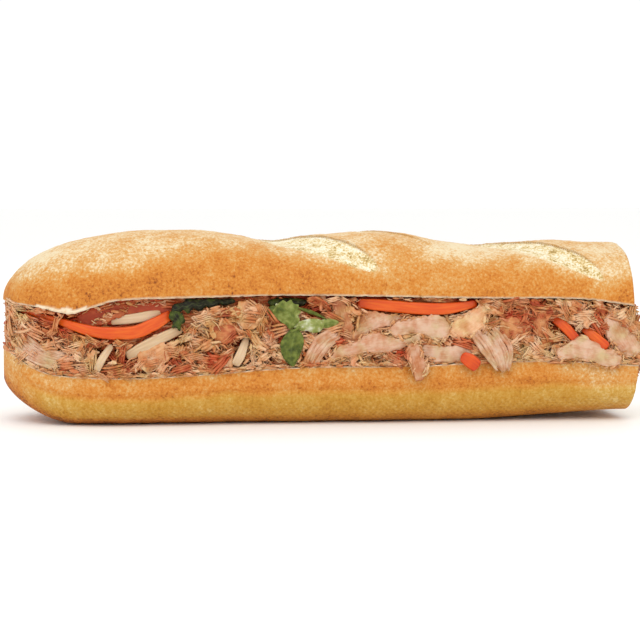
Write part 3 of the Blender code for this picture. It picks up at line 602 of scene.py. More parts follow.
def buildTopHalf():
    spec = topHalf
    xs = stations(spec)
    s = np.linspace(-loaf["halfArc"], loaf["halfArc"], spec["crustSteps"] + 1)
    x, s = np.meshgrid(xs, s, indexing="ij")
    relief, bloom, ear, pullX, pullS = slashRelief(x, s)
    held = ease((loaf["halfArc"] - np.abs(s)) / spec["rimHold"])  # nothing is pulled at the rim
    movedX = np.minimum(x + pullX * held, loaf["cutX"])
    y, rise, height, rim = crustPoint(movedX, s + pullS * held)
    spot = np.stack([movedX, y, rise], -1)
    wave = loaf["crustWave"] * noiseAt(spot, loaf["crustWaveSize"])
    grain = noiseAt(spot, spec["fineGrain"], 5.0) + 0.8 * noiseAt(spot, spec["coarseGrain"], 9.0)
    swell = (relief + wave) * np.clip(rise / 3, 0, 1) + spec["grain"] * grain * np.clip(rise / 1.5, 0.25, 1)
    tipFade = ease((x - loaf["tipX"]) / 3)
    section = spot * [0, 1, 1]
    section = section + unit(section) * (swell * tipFade)[..., None]
    rimNoise = noiseAt(np.stack([x, y, 0 * y], -1), spec["raggedSize"], 31.0, 2)
    ragged = spec["ragged"] * rimNoise * np.clip(1 - rise / 1.2, 0, 1)
    setBack = spec["setBack"] + spec["topLean"] * section[..., 2] / np.maximum(height, 1)
    setBack = leanShare(movedX) * setBack
    outside = np.stack([movedX - setBack, section[..., 1], rim + section[..., 2] + ragged * tipFade], -1)
    # how baked, floury and crumby each point is, the crust paled towards the crest partly as painted
    # highlight; the back has the front's pattern the other way round
    lit = np.where(s < 0, x, -x)
    z = rim + rise
    # painted highlight: above this line the crust is paler, partly as paler crust and partly as light from
    # above
    turnsPale = smoothLine(spec["paleAndHighlightLine"], lit) + 2.0 * noiseAt(spot, 9.0, 11.0, 2)
    bake = spec["paleAndHighlightBake"] + spec["orangeBake"] * ease((turnsPale - z) / spec["paleAndHighlightWidth"] + 0.5)
    for px, pz, radius, browner in spec["patches"]:
        bake += browner * np.exp(-((lit - px) ** 2 / 1.8 + (z - pz) ** 2) / radius ** 2)
    bake += 0.05 * noiseAt(spot, 20.0, 15.0, 2)
    torn = spec["tornRim"]
    flap = torn["height"] * np.clip(1 - ((x - torn["x"]) / torn["reach"]) ** 2, 0, 1)
    tornHeight = 0.25 + 0.3 * noiseAt(spot, 2.5, 51.0) + flap * (0.8 + 0.5 * noiseAt(spot, 4.0, 57.0))
    crumb = np.where(s < 0, ease((tornHeight - rise) / 0.35 + 0.5), ease((0.4 - rise) / 0.3 + 0.5))
    cut = cutFace(xs, outside[:, -1], outside[:, 0], 1, 3.0)
    tip = [loaf["tipX"], 0, loaf["topRimLine"][0][1]]
    return loafSkin("breadTop", outside, cut, tip, 41.0, {
        "bake": (bake, 0.5, 0.62, 0.5, 0.5), "crumb": (crumb, 1.0, 1.0, 0.0, 1.0),
        "bloom": (bloom, 0.0, 0.0, 0.0, 0.0), "ear": (ear, 0.0, 0.0, 0.0, 0.0)})


bottomHalf = {
    "heelStations": 120, "stations": 300, "flankSteps": 11, "roundSteps": 38, "flatSteps": 22,
    "grain": 0.15, "fineGrain": 1.7, "coarseGrain": 3.4, "ragged": 0.25, "raggedSize": 2.4,
    "creaseShare": 0.60, "creaseDepth": 0.55, "creaseWidth": 1.1,  # where the side meets the tray's bulge
    "dotSpacing": 2.6, "dotShade": 0.3, "bake": 0.64, "middleBake": 0.86, "middleGold": 0.25,
}


def buildBottomHalf():
    spec = bottomHalf
    xs = stations(spec)
    width, rim, base = [line(xs)[:, None] for line in (halfWidth, bottomRim, keel)]
    shoulder = base + (rim - base) * loaf["shoulderShare"]
    flat = loaf["flatHalfWidth"] * width / loaf["halfWidth"]
    # half the outline, from the rim down to the middle of the underside
    flank = np.linspace(0, 1, spec["flankSteps"] + 1)[None, :-1]
    theta = np.linspace(0, math.pi / 2, spec["roundSteps"] + 1)[None, :]
    under = np.linspace(0, 1, spec["flatSteps"] + 1)[None, 1:-1]
    power = 2 / loaf["undersidePower"]
    sideY = np.concatenate([width - loaf["shoulderTuck"] + loaf["shoulderTuck"] * ease(flank),
                            flat + (width - flat) * np.cos(theta) ** power, flat * (1 - under)], 1)
    sideZ = np.concatenate([rim + (shoulder - rim) * flank,
                            shoulder + (base - shoulder) * np.sin(theta) ** power, base + 0 * under], 1)
    bend = np.concatenate([0 * flank, np.sin(2 * theta), 0 * under], 1)
    x = np.repeat(xs[:, None], sideY.shape[1], 1)
    level = (sideZ - base) / (rim - base)
    tipFade = ease((x - loaf["tipX"]) / 4)
    stretches = np.cumsum(np.hypot(np.diff(sideY, axis=1), np.diff(sideZ, axis=1)), 1)
    way = np.concatenate([0 * rim, stretches], 1)
    wave = np.sin(2 * math.pi * x / spec["dotSpacing"]) * np.sin(2 * math.pi * way / spec["dotSpacing"])
    dots = ease((wave - 0.35) / 0.4) * ease((0.42 - level) / 0.15)
    # the share of a bump that goes outward and the one that goes down, doubled on the flat underside
    slopeY, slopeZ = np.gradient(sideY, axis=1), np.gradient(sideZ, axis=1)
    steep = np.maximum(np.hypot(slopeY, slopeZ), 1e-9)
    outShare = np.abs(slopeZ) / steep
    downShare = np.abs(slopeY) / steep * np.where(slopeZ == 0, 2, 1) * (level < 0.6)
    toasted = ease((-10 - x) / 60)
    low = ease((0.24 - level) / 0.16)
    halves = []
    for side in (front, back):
        spot = np.stack([x, side * sideY, sideZ], -1)
        grain = noiseAt(spot, spec["fineGrain"], 7.0) + 0.7 * noiseAt(spot, spec["coarseGrain"], 13.0)
        crease = spec["creaseShare"] + 0.03 * noiseAt(spot * [1, 0, 0], 30.0, 3.0)
        groove = np.exp(-((level - crease) * (rim - base) / spec["creaseWidth"]) ** 2)
        lift = loaf["crustWave"] * noiseAt(spot, loaf["crustWaveSize"]) * bend
        lift += spec["grain"] * grain * ease(level / 0.06 + 0.15)
        lift = (lift - spec["creaseDepth"] * groove * tipFade) * tipFade
        rimNoise = noiseAt(spot * [1, 1, 0], spec["raggedSize"], 61.0, 2)
        ragged = spec["ragged"] * rimNoise * np.clip(1 - (rim - sideZ) / 1.0, 0, 1)
        moved = np.stack([x - loaf["bottomLean"] * leanShare(x) * (1 - level),
                          side * (sideY + outShare * lift), np.maximum(sideZ - downShare * lift,
                                                                       base) + ragged * tipFade], -1)
        golden = crease + 0.06 + 0.05 * noiseAt(spot * [1, 1, 0], 16.0, 19.0, 2)
        gold = ease((golden - level) / 0.2) * (1 - (0.6 + 0.3 * toasted) * ease((0.22 - level) / 0.16))
        bake = spec["bake"] + 0.05 * noiseAt(spot, 22.0, 21.0, 2) + (0.10 + 0.08 * toasted) * low
        bake -= 0.10 * ease((level - crease) / 0.3) + 0.16 * ease((x - 80) / 30)
        bake -= 0.18 * ease((-86 - x) / 25) * ease((level - 0.2) / 0.2)
        crumb = ease((0.15 + 0.5 * noiseAt(spot, 3.0, 77.0) - (rim - sideZ)) / 0.35 + 0.5)
        halves.append((moved, bake, crumb, spec["dotShade"] * dots * tipFade, gold * ease((x + 122) / 16)))
    middleX = xs - loaf["bottomLean"] * leanShare(xs)
    middleLine = np.stack([middleX, 0 * xs, base[:, 0]], -1)[:, None]
    atMiddle = (middleLine, spec["middleBake"] + 0 * rim, 0 * rim, 0 * rim, spec["middleGold"] + 0 * rim)
    outside, bake, crumb, dots, gold = [
        np.concatenate([atFront, middle, atBack[:, ::-1]], 1)
        for atFront, middle, atBack in zip(halves[0], atMiddle, halves[1])]
    cut = cutFace(xs, halves[1][0][:, 0], halves[0][0][:, 0], -1, 23.0)
    tip = [loaf["tipX"], 0, loaf["keelTipZ"] + 0.7 * (loaf["bottomRimLine"][0][1] - loaf["keelTipZ"])]
    return loafSkin("breadBottom", outside, cut, tip, 43.0, {
        "bake": (bake, 0.5, 0.66, 0.55, 0.5), "crumb": (crumb, 1.0, 1.0, 0.0, 1.0),
        "dots": (dots, 0.0, 0.0, 0.0, 0.0), "gold": (gold, 0.0, 0.0, 0.0, 0.0)})


addPiece("breadTop", buildTopHalf(), loafMaterial, "bread_top")
addPiece("breadBottom", buildBottomHalf(), loafMaterial, "bread_bottom")
print("bread made")


# Torn and sliced pieces
def tornSlab(path, facing, halfWidths, halfDepths, look, draw, steps):
    # A slab torn at its ends and along its sides, with shallow grooves along its fibres. Returns vertices,
    # faces, the (along, across) place of each vertex and how near the slab's long sides it is.
    along, across, outward = pathFrame(path, facing)
    length = pathLength(path)
    u = np.linspace(0, 1, len(path))[:, None]
    seed = draw.uniform(0, 500)
    a, b = softSquare(turnsRound(steps)[None], look["squareness"])
    one = np.ones_like(u * a)
    rounding = endRounding(np.minimum(u, 1 - u) * length, look["rounding"], 0.02)
    place = np.stack([u * length * one, a * halfWidths[:, None], seed + 2 * np.sign(b) * one], -1)
    side = np.stack([u * length * one, 7 * np.sign(a) * one, seed * one], -1)
    edge = 1 + look["edge"] * noiseAt(side, look["edgeSize"], 0.0, 3) * np.abs(a)
    tornEnd = np.stack([0 * one, place[..., 1], (seed + 40 * (u > 0.5)) * one], -1)
    tear = look["tear"] * noiseAt(tornEnd, look["tearSize"], 3.0, 3)
    lumps = look["lumps"] * noiseAt(place, look["lumpSize"], 7.0, 2)
    grooves = look["grooves"] * noiseAt(place * [0.1, 1, 1], look["grooveSize"], 9.0, 2)
    reach = rounding * edge
    points = path[:, None] + across[:, None] * (a * halfWidths[:, None] * reach)[..., None]
    height = b * halfDepths[:, None] * rounding + lumps + grooves * np.abs(b)
    points = points + outward[:, None] * height[..., None]
    points = points + along[:, None] * (tear * (np.abs(2 * u - 1) ** 6))[..., None]
    verts, faces = closedSkin(points)
    return verts, faces, withPoles(place), np.append((np.abs(a) * one).ravel(), [0.5, 0.5])


def drawnSlab(side, outline, out, thickness, look, seed):
    # A soft slab inside a drawn outline, its edges rounded and a little ragged, its faces softly lumpy.
    # Returns the same as tornSlab.
    middle, axis, t, low, high = outlineStrip(outline, look["lengthSteps"])
    a, b = softSquare(turnsRound(look["roundSteps"])[None], look["slabSquareness"])
    fromEnd = np.minimum(t - t[0], t[-1] - t)[:, None]
    rounding = endRounding(fromEnd, look["slabRounding"], 0.02)
    v = ((high + low) / 2)[:, None] + a * ((high - low) / 2)[:, None]
    rim = np.maximum(np.abs(a) ** 8, np.clip(1 - fromEnd / look["endRim"], 0, 1) ** 2)
    flat = np.stack([t[:, None] + 0 * a, v, seed + 0 * v], -1)
    v = v + look["ragged"] * rim * noiseAt(flat, look["raggedSize"], 5.0, 2)
    along = t[:, None] + look["ragged"] * rim * noiseAt(flat, look["raggedSize"], 15.0, 2)
    lumps = look["lumps"] * noiseAt(flat, look["lumpSize"], 7.0, 2)
    grooves = look["grooves"] * noiseAt(flat * [0.12, 1, 1], look["grooveSize"], 9.0, 2)
    depth = out + b * thickness / 2 * rounding + lumps + grooves * np.abs(b)
    verts, faces = closedSkin(outlinePoints(side, middle, axis, along, v, depth))
    place = np.stack([along, v, seed + 2 * np.sign(b) + 0 * v], -1)
    return verts, faces, withPoles(place), np.append(rim.ravel(), [1.0, 1.0])


sliceLook = {
    "edge": 0.3, "edgeSize": 3.0, "tear": 1.4, "tearSize": 2.2, "lumps": 0.34, "lumpSize": 3.2,
    "grooves": 0.3, "grooveSize": 0.9, "rounding": 0.9, "lengthSteps": 64, "roundSteps": 56,
    "squareness": 0.7, "slabSquareness": 0.36, "slabRounding": 0.8, "endRim": 1.6, "ragged": 0.95,
    "raggedSize": 1.7, "strandSteps": 44, "strandSides": 12, "strandWander": 0.07, "strandLift": 0.4,
    "strandTone": 0.14,
}
# tone: 0 pale breast to 1 brown, at the left and at the right end; then how much browner the edges are.
# A slice has an outline of (x, z) points, is like another one the other way round (like, shiftX, shiftZ), or
# is torn into strands, fanned between the two routes of (x, z, out) points in span.
slices = {
    "chicken_1": dict(side=front, out=-3.0, thickness=3.0, tone=(0.42, 0.2), browned=0.22, outline=[
        (13.0, 43.7), (17.3, 43.7), (22.4, 42.9), (27.5, 42.1), (28.6, 40.9), (27.1, 39.4), (24.3, 38.2),
        (20.4, 37.1), (17.3, 35.5), (14.9, 33.6), (11.8, 31.7), (9.5, 30.5), (8.7, 32.4), (9.9, 36.3),
        (11.4, 39.8)]),
    "chicken_2": dict(side=front, out=-1.4, thickness=2.8, tone=(0.1, 0.14), browned=0.16, outline=[
        (23.0, 36.2), (24.5, 38.5), (27.3, 40.4), (30.8, 41.2), (35.5, 41.5), (40.2, 42.3), (43.8, 41.8),
        (45.7, 40.3), (46.9, 37.5), (46.5, 34.8), (45.0, 32.9), (42.2, 32.5), (38.7, 33.7), (35.5, 34.9),
        (32.4, 35.3), (28.5, 34.2), (24.6, 34.2)]),
    "chicken_3": dict(side=front, out=-1.0, thickness=2.8, tone=(0.3, 0.14), browned=0.18, outline=[
        (-0.7, 24.3), (1.6, 27.8), (3.5, 30.5), (6.6, 31.6), (10.5, 32.0), (12.8, 34.3), (15.9, 35.5),
        (19.8, 35.4), (23.7, 33.9), (27.6, 33.4), (31.5, 33.8), (34.3, 35.3), (35.9, 34.2), (35.1, 32.2),
        (31.5, 30.7), (28.4, 29.6), (24.5, 28.4), (19.8, 27.7), (14.4, 27.7), (8.9, 26.6), (4.3, 25.5)]),
    "chicken_4": dict(side=front, out=-2.2, thickness=3.0, tone=(0.12, 0.1), browned=0.15, outline=[
        (36.3, 30.4), (39.1, 30.9), (42.3, 30.8), (45.4, 30.2), (48.6, 30.4), (52.6, 31.0), (56.6, 30.4),
        (57.4, 27.8), (55.0, 25.9), (52.6, 24.2), (49.4, 23.9), (45.9, 23.6), (42.3, 23.6), (39.1, 24.4),
        (37.1, 26.1), (36.0, 28.1)]),
    "chicken_5": dict(side=front, out=2.4, thickness=2.0, tone=(0.3, 0.42), browned=0.3, outline=[
        (29.5, 29.1), (31.8, 31.4), (34.2, 31.7), (35.3, 29.0), (36.5, 25.9), (37.7, 22.8), (37.3, 20.4),
        (35.8, 18.1), (34.2, 17.0), (32.6, 18.6), (31.5, 21.7), (30.3, 25.2)]),
    "chicken_6": dict(side=front, thickness=1.5, tone=(0.16, 0.2), browned=0.1, strands=19, width=1.6, span=[
        [(52.0, 38.0, -1.8), (57.0, 31.0, 0.2), (61.6, 24.8, 1.8), (65.8, 19.4, 2.2)],
        [(64.0, 40.4, -2.6), (69.0, 34.6, -1.4), (71.8, 28.0, 0.4), (70.2, 20.2, 2.0)]]),
    "chicken_7": dict(side=front, out=0.4, thickness=2.6, tone=(0.14, 0.1), browned=0.15, outline=[
        (89.1, 28.0), (92.1, 30.2), (95.6, 31.8), (98.8, 33.8), (102.2, 32.6), (105.6, 30.0), (109.6, 28.2),
        (113.4, 26.8), (115.4, 24.6), (114.0, 22.2), (109.8, 21.4), (106.6, 22.4), (102.7, 23.8),
        (98.7, 24.6), (94.7, 24.6), (90.7, 24.4)]),
    "chicken_8": dict(side=front, out=-2.2, thickness=2.6, tone=(0.2, 0.14), browned=0.15, outline=[
        (108.4, 37.6), (109.4, 41.6), (111.8, 43.6), (114.6, 42.4), (117.6, 39.2), (120.6, 36.2),
        (123.0, 32.6), (123.2, 28.2), (120.4, 25.2), (116.4, 25.8), (113.4, 28.8), (110.0, 32.5)]),
    "chicken_9": dict(side=front, thickness=1.3, tone=(0.2, 0.16), browned=0.1, strands=13, width=1.5, span=[
        [(-122.6, 32.6, -1.6), (-118.4, 27.6, -1.0), (-111.6, 23.8, -0.8), (-102.0, 21.4, -1.0)],
        [(-118.0, 36.4, -2.2), (-112.0, 32.2, -1.6), (-105.6, 29.2, -1.4), (-97.0, 27.4, -1.6)]]),
    "chicken_10": dict(side=front, out=-2.6, thickness=2.6, tone=(0.58, 0.5), browned=0.16, outline=[
        (1.6, 48.8), (5.1, 49.2), (6.7, 46.9), (8.3, 43.4), (9.1, 39.5), (9.4, 35.6), (9.1, 31.3),
        (7.9, 30.5), (5.9, 33.7), (4.0, 37.6), (2.4, 42.2), (1.3, 45.7)]),
    "chicken_11": dict(side=front, thickness=1.7, tone=(0.3, 0.34), browned=0.2, strands=7, width=1.9, span=[
        [(3.6, 38.4, -2.0), (-3.2, 35.0, -0.8), (-7.6, 29.4, -0.6), (-10.2, 23.6, -0.8)],
        [(5.6, 33.4, -2.2), (1.0, 30.0, -1.0), (-2.2, 26.4, -0.6), (-4.2, 23.2, -0.9)]]),
    "chicken_12": dict(side=back, out=-1.8, thickness=3.0, tone=(0.12, 0.18), browned=0.16,
                       like="chicken_2", shiftX=14.5, shiftZ=-2.0),
    "chicken_13": dict(side=back, out=-1.4, thickness=2.8, tone=(0.16, 0.3), browned=0.18,
                       like="chicken_3", shiftX=82.0, shiftZ=0.0),
    "chicken_14": dict(side=back, thickness=1.6, tone=(0.28, 0.3), browned=0.15, strands=10, width=1.8, span=[
        [(-58.0, 38.0, -3.0), (-68.0, 36.0, -1.8), (-77.0, 33.8, -1.8), (-86.0, 32.6, -3.0)],
        [(-60.0, 32.2, -3.0), (-68.0, 30.0, -1.6), (-76.0, 28.2, -1.6), (-84.0, 27.8, -3.0)]]),
    "chicken_15": dict(side=back, out=2.4, thickness=2.0, tone=(0.3, 0.4), browned=0.3,
                       like="chicken_5", shiftX=-16.5, shiftZ=-0.5),
}
# vertices and faces of the pieces that the loose shreds keep off (kept) and may overlap at the edge (near),
# and the outlines that get fine bits of meat along them
keptParts, nearParts, slabEdges = [], [], []


def buildSlice(name, spec, draw):
    parts, lanes, tones = [], [], []
    if "span" in spec:
        first, second = [smoothPath(sidePoints(spec["side"], route), sliceLook["strandSteps"])
                         for route in spec["span"]]
        facing = sideNormals(spec["side"], first[:, 0])
        u = np.linspace(0, 1, len(first))
        for k in range(spec["strands"]):
            wander = np.array([noise.noise((t * 2.6, k * 5.1, 2.7)) for t in u])
            lift = np.array([noise.noise((t * 3.4 + 9, k * 3.3, 1.3)) for t in u])
            share = (k + draw.uniform(0.2, 0.8)) / spec["strands"] + sliceLook["strandWander"] * wander
            share = share[:, None]
            path = first * (1 - share) + second * share + facing * (sliceLook["strandLift"] * lift)[:, None]
            part = slice(draw.randint(0, 9), len(u) - draw.randint(0, 6))
            half = spec["width"] / 2 * draw.uniform(0.6, 1.1) * (0.5 + 0.5 * np.sin(math.pi * u) ** 0.6)
            depth = 0.5 * spec["thickness"] * np.ones_like(half[part])
            verts, faces, place, rim = tornSlab(path[part], facing[part], half[part], depth, sliceLook,
                                                draw, sliceLook["strandSides"])
            parts.append((verts, faces))
            lanes.append(place)
            shade = sliceLook["strandTone"] * draw.uniform(-1, 1)
            tones.append(spec["tone"][0] + spec["browned"] * rim ** 8 + shade)
    else:
        outline = spec.get("outline")
        if outline is None:
            likeOutline = slices[spec["like"]]["outline"]
            outline = [(spec["shiftX"] - x, z + spec["shiftZ"]) for x, z in likeOutline]
        verts, faces, place, rim = drawnSlab(spec["side"], outline, spec["out"], spec["thickness"],
                                             sliceLook, draw.uniform(0, 500))
        slabEdges.append((spec["side"], spec["out"], outline))
        parts.append((verts, faces))
        lanes.append(place)
        share = (verts[:, 0] - verts[:, 0].min()) / np.ptp(verts[:, 0])
        tones.append(spec["tone"][0] * (1 - share) + spec["tone"][1] * share + spec["browned"] * rim)
    verts, faces = joined(parts)
    nearParts.append((verts, faces))
    data = newMesh(name, verts, faces, {
        "lane": np.vstack(lanes), "tone": np.concatenate(tones), "deep": np.zeros(len(verts))})
    addPiece("slice" + name.split("_")[1], data, sliceMaterial, name)


sliceDraw = random.Random(5)
for sliceName, sliceSpec in slices.items():
    buildSlice(sliceName, sliceSpec, sliceDraw)
print("slices made")


# Sticks of carrot and radish
sticks = {
    "carrot_1": dict(side=front, thickness=3.2, widths=[1.6, 2.6, 4.4, 4.9, 5.0, 3.6], tone=0.3, route=[
        (-119, 44.3, -5), (-104, 40.6, -3.4), (-90, 36.6, -2.6), (-76, 36.2, -2.4), (-68, 39.0, -3.0),
        (-60.5, 43.0, -5)]),
    "carrot_2": dict(side=front, thickness=3.2, widths=[3.6, 4.6, 4.6, 4.4, 2.8], tone=0.3, route=[
        (11.4, 46.8, -4.2), (21, 46.1, -3.0), (34, 44.9, -2.2), (46, 44.7, -2.2), (58.5, 46.5, -3.4)]),
    "carrot_3": dict(side=front, thickness=2.8, widths=[3.6, 5.6, 4.8], tone=0.3, route=[
        (51.4, 26.6, 1.2), (54.6, 24.6, 2.2), (58.0, 22.0, 2.4)]),
    "carrot_4": dict(side=front, thickness=3.0, widths=[3.4, 4.0, 3.8], tone=0.3, route=[
        (89.0, 40.6, -4.2), (93.2, 37.0, -2.4), (97.8, 31.8, -0.8)]),
    "carrot_5": dict(side=front, thickness=3.0, widths=[3.2, 4.2, 4.0], tone=0.2, route=[
        (100.6, 37.0, -4.0), (104.6, 33.2, -1.8), (109.8, 28.8, -0.2)]),
    "carrot_6": dict(side=back, thickness=3.2, widths=[2.4, 4.8, 5.2, 2.6], tone=0.35, route=[
        (84, 44.0, -5), (66, 38.6, -2.6), (46, 37.6, -2.6), (28, 42.8, -5)]),
    "carrot_7": dict(side=back, thickness=3.2, widths=[3.0, 4.6, 4.4, 2.6], tone=0.45, route=[
        (-26, 46.2, -5), (-44, 44.2, -3.2), (-60, 43.8, -3.2), (-76, 45.6, -4.6)]),
    "carrot_8": dict(side=back, thickness=3.0, widths=[3.4, 4.2, 3.6], tone=0.4, route=[
        (-90, 40.0, -7.0), (-94, 33.0, -3.6), (-99, 27.0, -1.4)]),
    "radish_1": dict(side=front, thickness=2.6, widths=[3.0, 4.0, 3.2], tone=0.3, route=[
        (-84, 40.4, -5.6), (-74, 41.6, -5.2), (-64, 43.6, -5.8)]),
    "radish_2": dict(side=front, thickness=2.8, widths=[3.6, 4.6, 3.2], tone=0.5, route=[
        (-78, 27.0, -2.2), (-68.5, 32.0, -2.2), (-56.5, 37.6, -3.4)]),
    "radish_3": dict(side=front, thickness=2.6, widths=[3.4, 3.8, 2.2], tone=0.35, route=[
        (-36.4, 23.2, -0.8), (-34.0, 27.6, -1.6), (-31.6, 34.0, -3.2)]),
    "radish_4": dict(side=front, thickness=2.6, widths=[2.8, 3.0, 2.4], tone=0.35, route=[
        (-89.4, 21.4, -1.0), (-87.0, 26.2, -1.6), (-83.4, 31.6, -3.0)]),
    "radish_5": dict(side=back, thickness=2.8, widths=[3.0, 4.4, 3.4], tone=0.4, route=[
        (20, 26.4, -2.0), (10, 31.4, -2.4), (-1, 36.2, -3.4)]),
    "radish_6": dict(side=back, thickness=2.6, widths=[3.0, 3.6, 2.4], tone=0.4, route=[
        (96, 27.4, -1.4), (99, 33.0, -2.0), (104, 38.6, -3.6)]),
}
stickLook = {
    "steps": 64, "sides": 24, "squareness": 0.42, "grooves": 0.10, "grooveSize": 0.9, "waver": 0.066,
    "waverSize": 6.0, "rounding": 1.1, "endTone": 0.25, "endToneLength": 6.0, "edgeTone": 0.12,
}


def buildStick(name, spec):
    # a julienne stick: a soft-edged rectangle in section, lightly grooved by the blade, its ends rounded off
    steps = stickLook["steps"]
    path = smoothPath(sidePoints(spec["side"], spec["route"]), steps)
    across, outward = pathFrame(path, sideNormals(spec["side"], path[:, 0]))[1:]
    share = np.linspace(0, len(spec["widths"]) - 1, steps + 1)
    half = smoothLine(list(enumerate(spec["widths"])), share)[:, None] / 2
    u = np.linspace(0, 1, steps + 1)[:, None]
    length = pathLength(path)
    fromEnd = np.minimum(u, 1 - u) * length
    rounding = endRounding(fromEnd, stickLook["rounding"], 0.04)
    depth = spec["thickness"] / 2 * (0.55 + 0.45 * np.sin(math.pi * u))
    a, b = softSquare(turnsRound(stickLook["sides"])[None], stickLook["squareness"])
    place = np.stack([u * length + 0 * a, a * half + b * 0.7, 0 * u + b * 3], -1)
    groove = stickLook["grooves"] * noiseAt(place * [0.08, 1, 1], stickLook["grooveSize"], len(name))
    waver = stickLook["waver"] * noiseAt(place * [1, 0, 0], stickLook["waverSize"], path[0, 0])
    reach = rounding * (1 + waver)
    rings = (path[:, None] + across[:, None] * (a * (half + groove) * reach)[..., None]
             + outward[:, None] * (b * (depth + groove) * reach)[..., None])
    verts, faces = closedSkin(rings)
    keptParts.append((verts, faces))
    lane = np.vstack([place.reshape(-1, 3), [[0, 0, 0], [length, 0, 0]]])
    endTone = stickLook["endTone"] * ease(1 - fromEnd / stickLook["endToneLength"])
    tone = spec["tone"] + endTone + stickLook["edgeTone"] * (np.abs(a) > 0.9)
    tone = np.concatenate([tone.ravel(), [spec["tone"] + stickLook["endTone"]] * 2])
    kind, number = name.split("_")
    material = carrotMaterial if kind == "carrot" else radishMaterial
    addPiece(kind + "Stick" + number, newMesh(name, verts, faces, {"lane": lane, "tone": tone}), material,
             name)


for stickName, stickSpec in sticks.items():
    buildStick(stickName, stickSpec)
print("sticks made")


# Coriander
# tone: 0 dark, used as painted shade under the crust, to 1 the pale underside; each leaflet has its
# outline of (x, z) points, or the shape of another
leafShapes = {
    "fan": [(-15.3, 37.4), (-16.8, 38.9), (-18.7, 40.1), (-20.7, 42.0), (-21.8, 44.4), (-20.3, 45.1),
            (-20.7, 47.0), (-18.7, 46.6), (-18.0, 48.4), (-16.0, 47.4), (-14.9, 48.6), (-13.7, 47.0),
            (-11.8, 46.6), (-12.2, 45.1), (-10.7, 43.9), (-12.2, 42.8), (-11.4, 40.8), (-13.0, 40.1),
            (-13.7, 38.2)],
    "highlitUnderside": [(-13.7, 38.1), (-11.4, 40.1), (-9.1, 40.8), (-6.4, 41.2), (-3.7, 40.8), (-2.2, 39.2),
              (-3.3, 36.5), (-6.0, 35.8), (-8.7, 36.6), (-11.4, 36.6)],
    "olive": [(-5.0, 39.8), (-1.3, 41.0), (1.2, 40.9), (3.6, 39.8), (1.4, 38.3), (-1.3, 37.6),
              (-4.3, 38.4)],
    "sliver": [(-12.4, 45.4), (-8.4, 44.8), (-4.4, 43.2), (-1.0, 40.9), (-4.6, 42.1), (-8.6, 43.6)],
    "tooth": [(-19.6, 41.0), (-22.4, 42.6), (-23.6, 44.9), (-21.6, 46.2), (-19.4, 45.4), (-18.0, 43.0)],
    "egg": [(-14.9, 37.0), (-17.2, 34.7), (-18.8, 31.6), (-18.4, 27.8), (-16.8, 25.1), (-14.2, 22.9),
            (-12.6, 24.7), (-11.1, 28.1), (-9.9, 32.0), (-10.7, 35.4), (-12.6, 37.0)],
    "behind": [(-23.4, 47.6), (-20.3, 48.8), (-16.4, 48.8), (-11.8, 48.7), (-8.7, 47.9), (-9.4, 46.3),
               (-12.5, 45.6), (-17.2, 46.0), (-21.1, 45.6)],
    "tuckedTop": [(-60.4, 44.1), (-59.6, 46.9), (-56.2, 47.6), (-54.5, 49.0), (-49.6, 48.6), (-46.0, 49.2),
                  (-41.4, 48.6), (-37.6, 49.0), (-36.2, 47.6), (-40.3, 46.4), (-42.4, 47.0), (-44.5, 44.6),
                  (-47.6, 46.1), (-49.5, 43.9), (-52.2, 45.5), (-54.1, 43.2), (-56.0, 44.9), (-58.3, 43.0)],
    "tuckedLow": [(-60.4, 44.5), (-58.1, 44.1), (-56.2, 42.5), (-55.5, 40.2), (-57.0, 39.1), (-57.4, 36.8),
                  (-58.9, 38.3), (-60.4, 38.0), (-60.0, 40.3), (-61.6, 41.8)],
}
# each sprig's stem, then its leaflets: shape, out, tone, and how far the shape is moved in x and z
coriander = {
    "coriander_1": dict(
        side=front, stem=[(-11.0, 38.2, 0.0), (-13.4, 36.9, 1.0), (-15.0, 36.2, 1.3)], stemTone=0.5,
        # the underside leaflet is pale partly as painted highlight; the leaflet behind is dark as painted
        # shade
        leaflets=[("fan", 1.0, 0.52, 0, 0), ("egg", 1.2, 0.3, 0, 0), ("highlitUnderside", 0.8, 0.74, 0, 0),
                  ("olive", 0.5, 0.56, 0, 0), ("sliver", -0.4, 0.4, 0, 0), ("tooth", -0.2, 0.3, 0, 0),
                  ("behind", -2.6, -0.06, 0, 0)]),
    # painted shade: this sprig lies under the upper crust, so its leaves and stem get the darkest tones
    "coriander_2": dict(
        side=front, stem=[(-60.0, 39.4, -2.0), (-58.0, 41.6, -2.0), (-56.4, 43.6, -2.4)], stemTone=0.0,
        leaflets=[("tuckedTop", -1.8, -0.08, 0, 0), ("tuckedLow", -1.2, 0.06, 0, 0)]),
    "coriander_3": dict(
        side=back, stem=[(28.0, 35.0, 0.2), (31.0, 33.2, 1.0), (35.0, 31.6, 1.3)], stemTone=0.5,
        leaflets=[("fan", 1.0, 0.5, 52, -6), ("egg", 1.2, 0.32, 51, -4)]),
}
leafLook = {
    "rings": 44, "spokes": 25, "thickness": 0.34, "crumple": 0.75, "veinGap": 2.1, "veinDepth": 0.14,
    "droop": 0.8, "stemWidth": 1.0, "stemSteps": 14, "stemSides": 10,
}


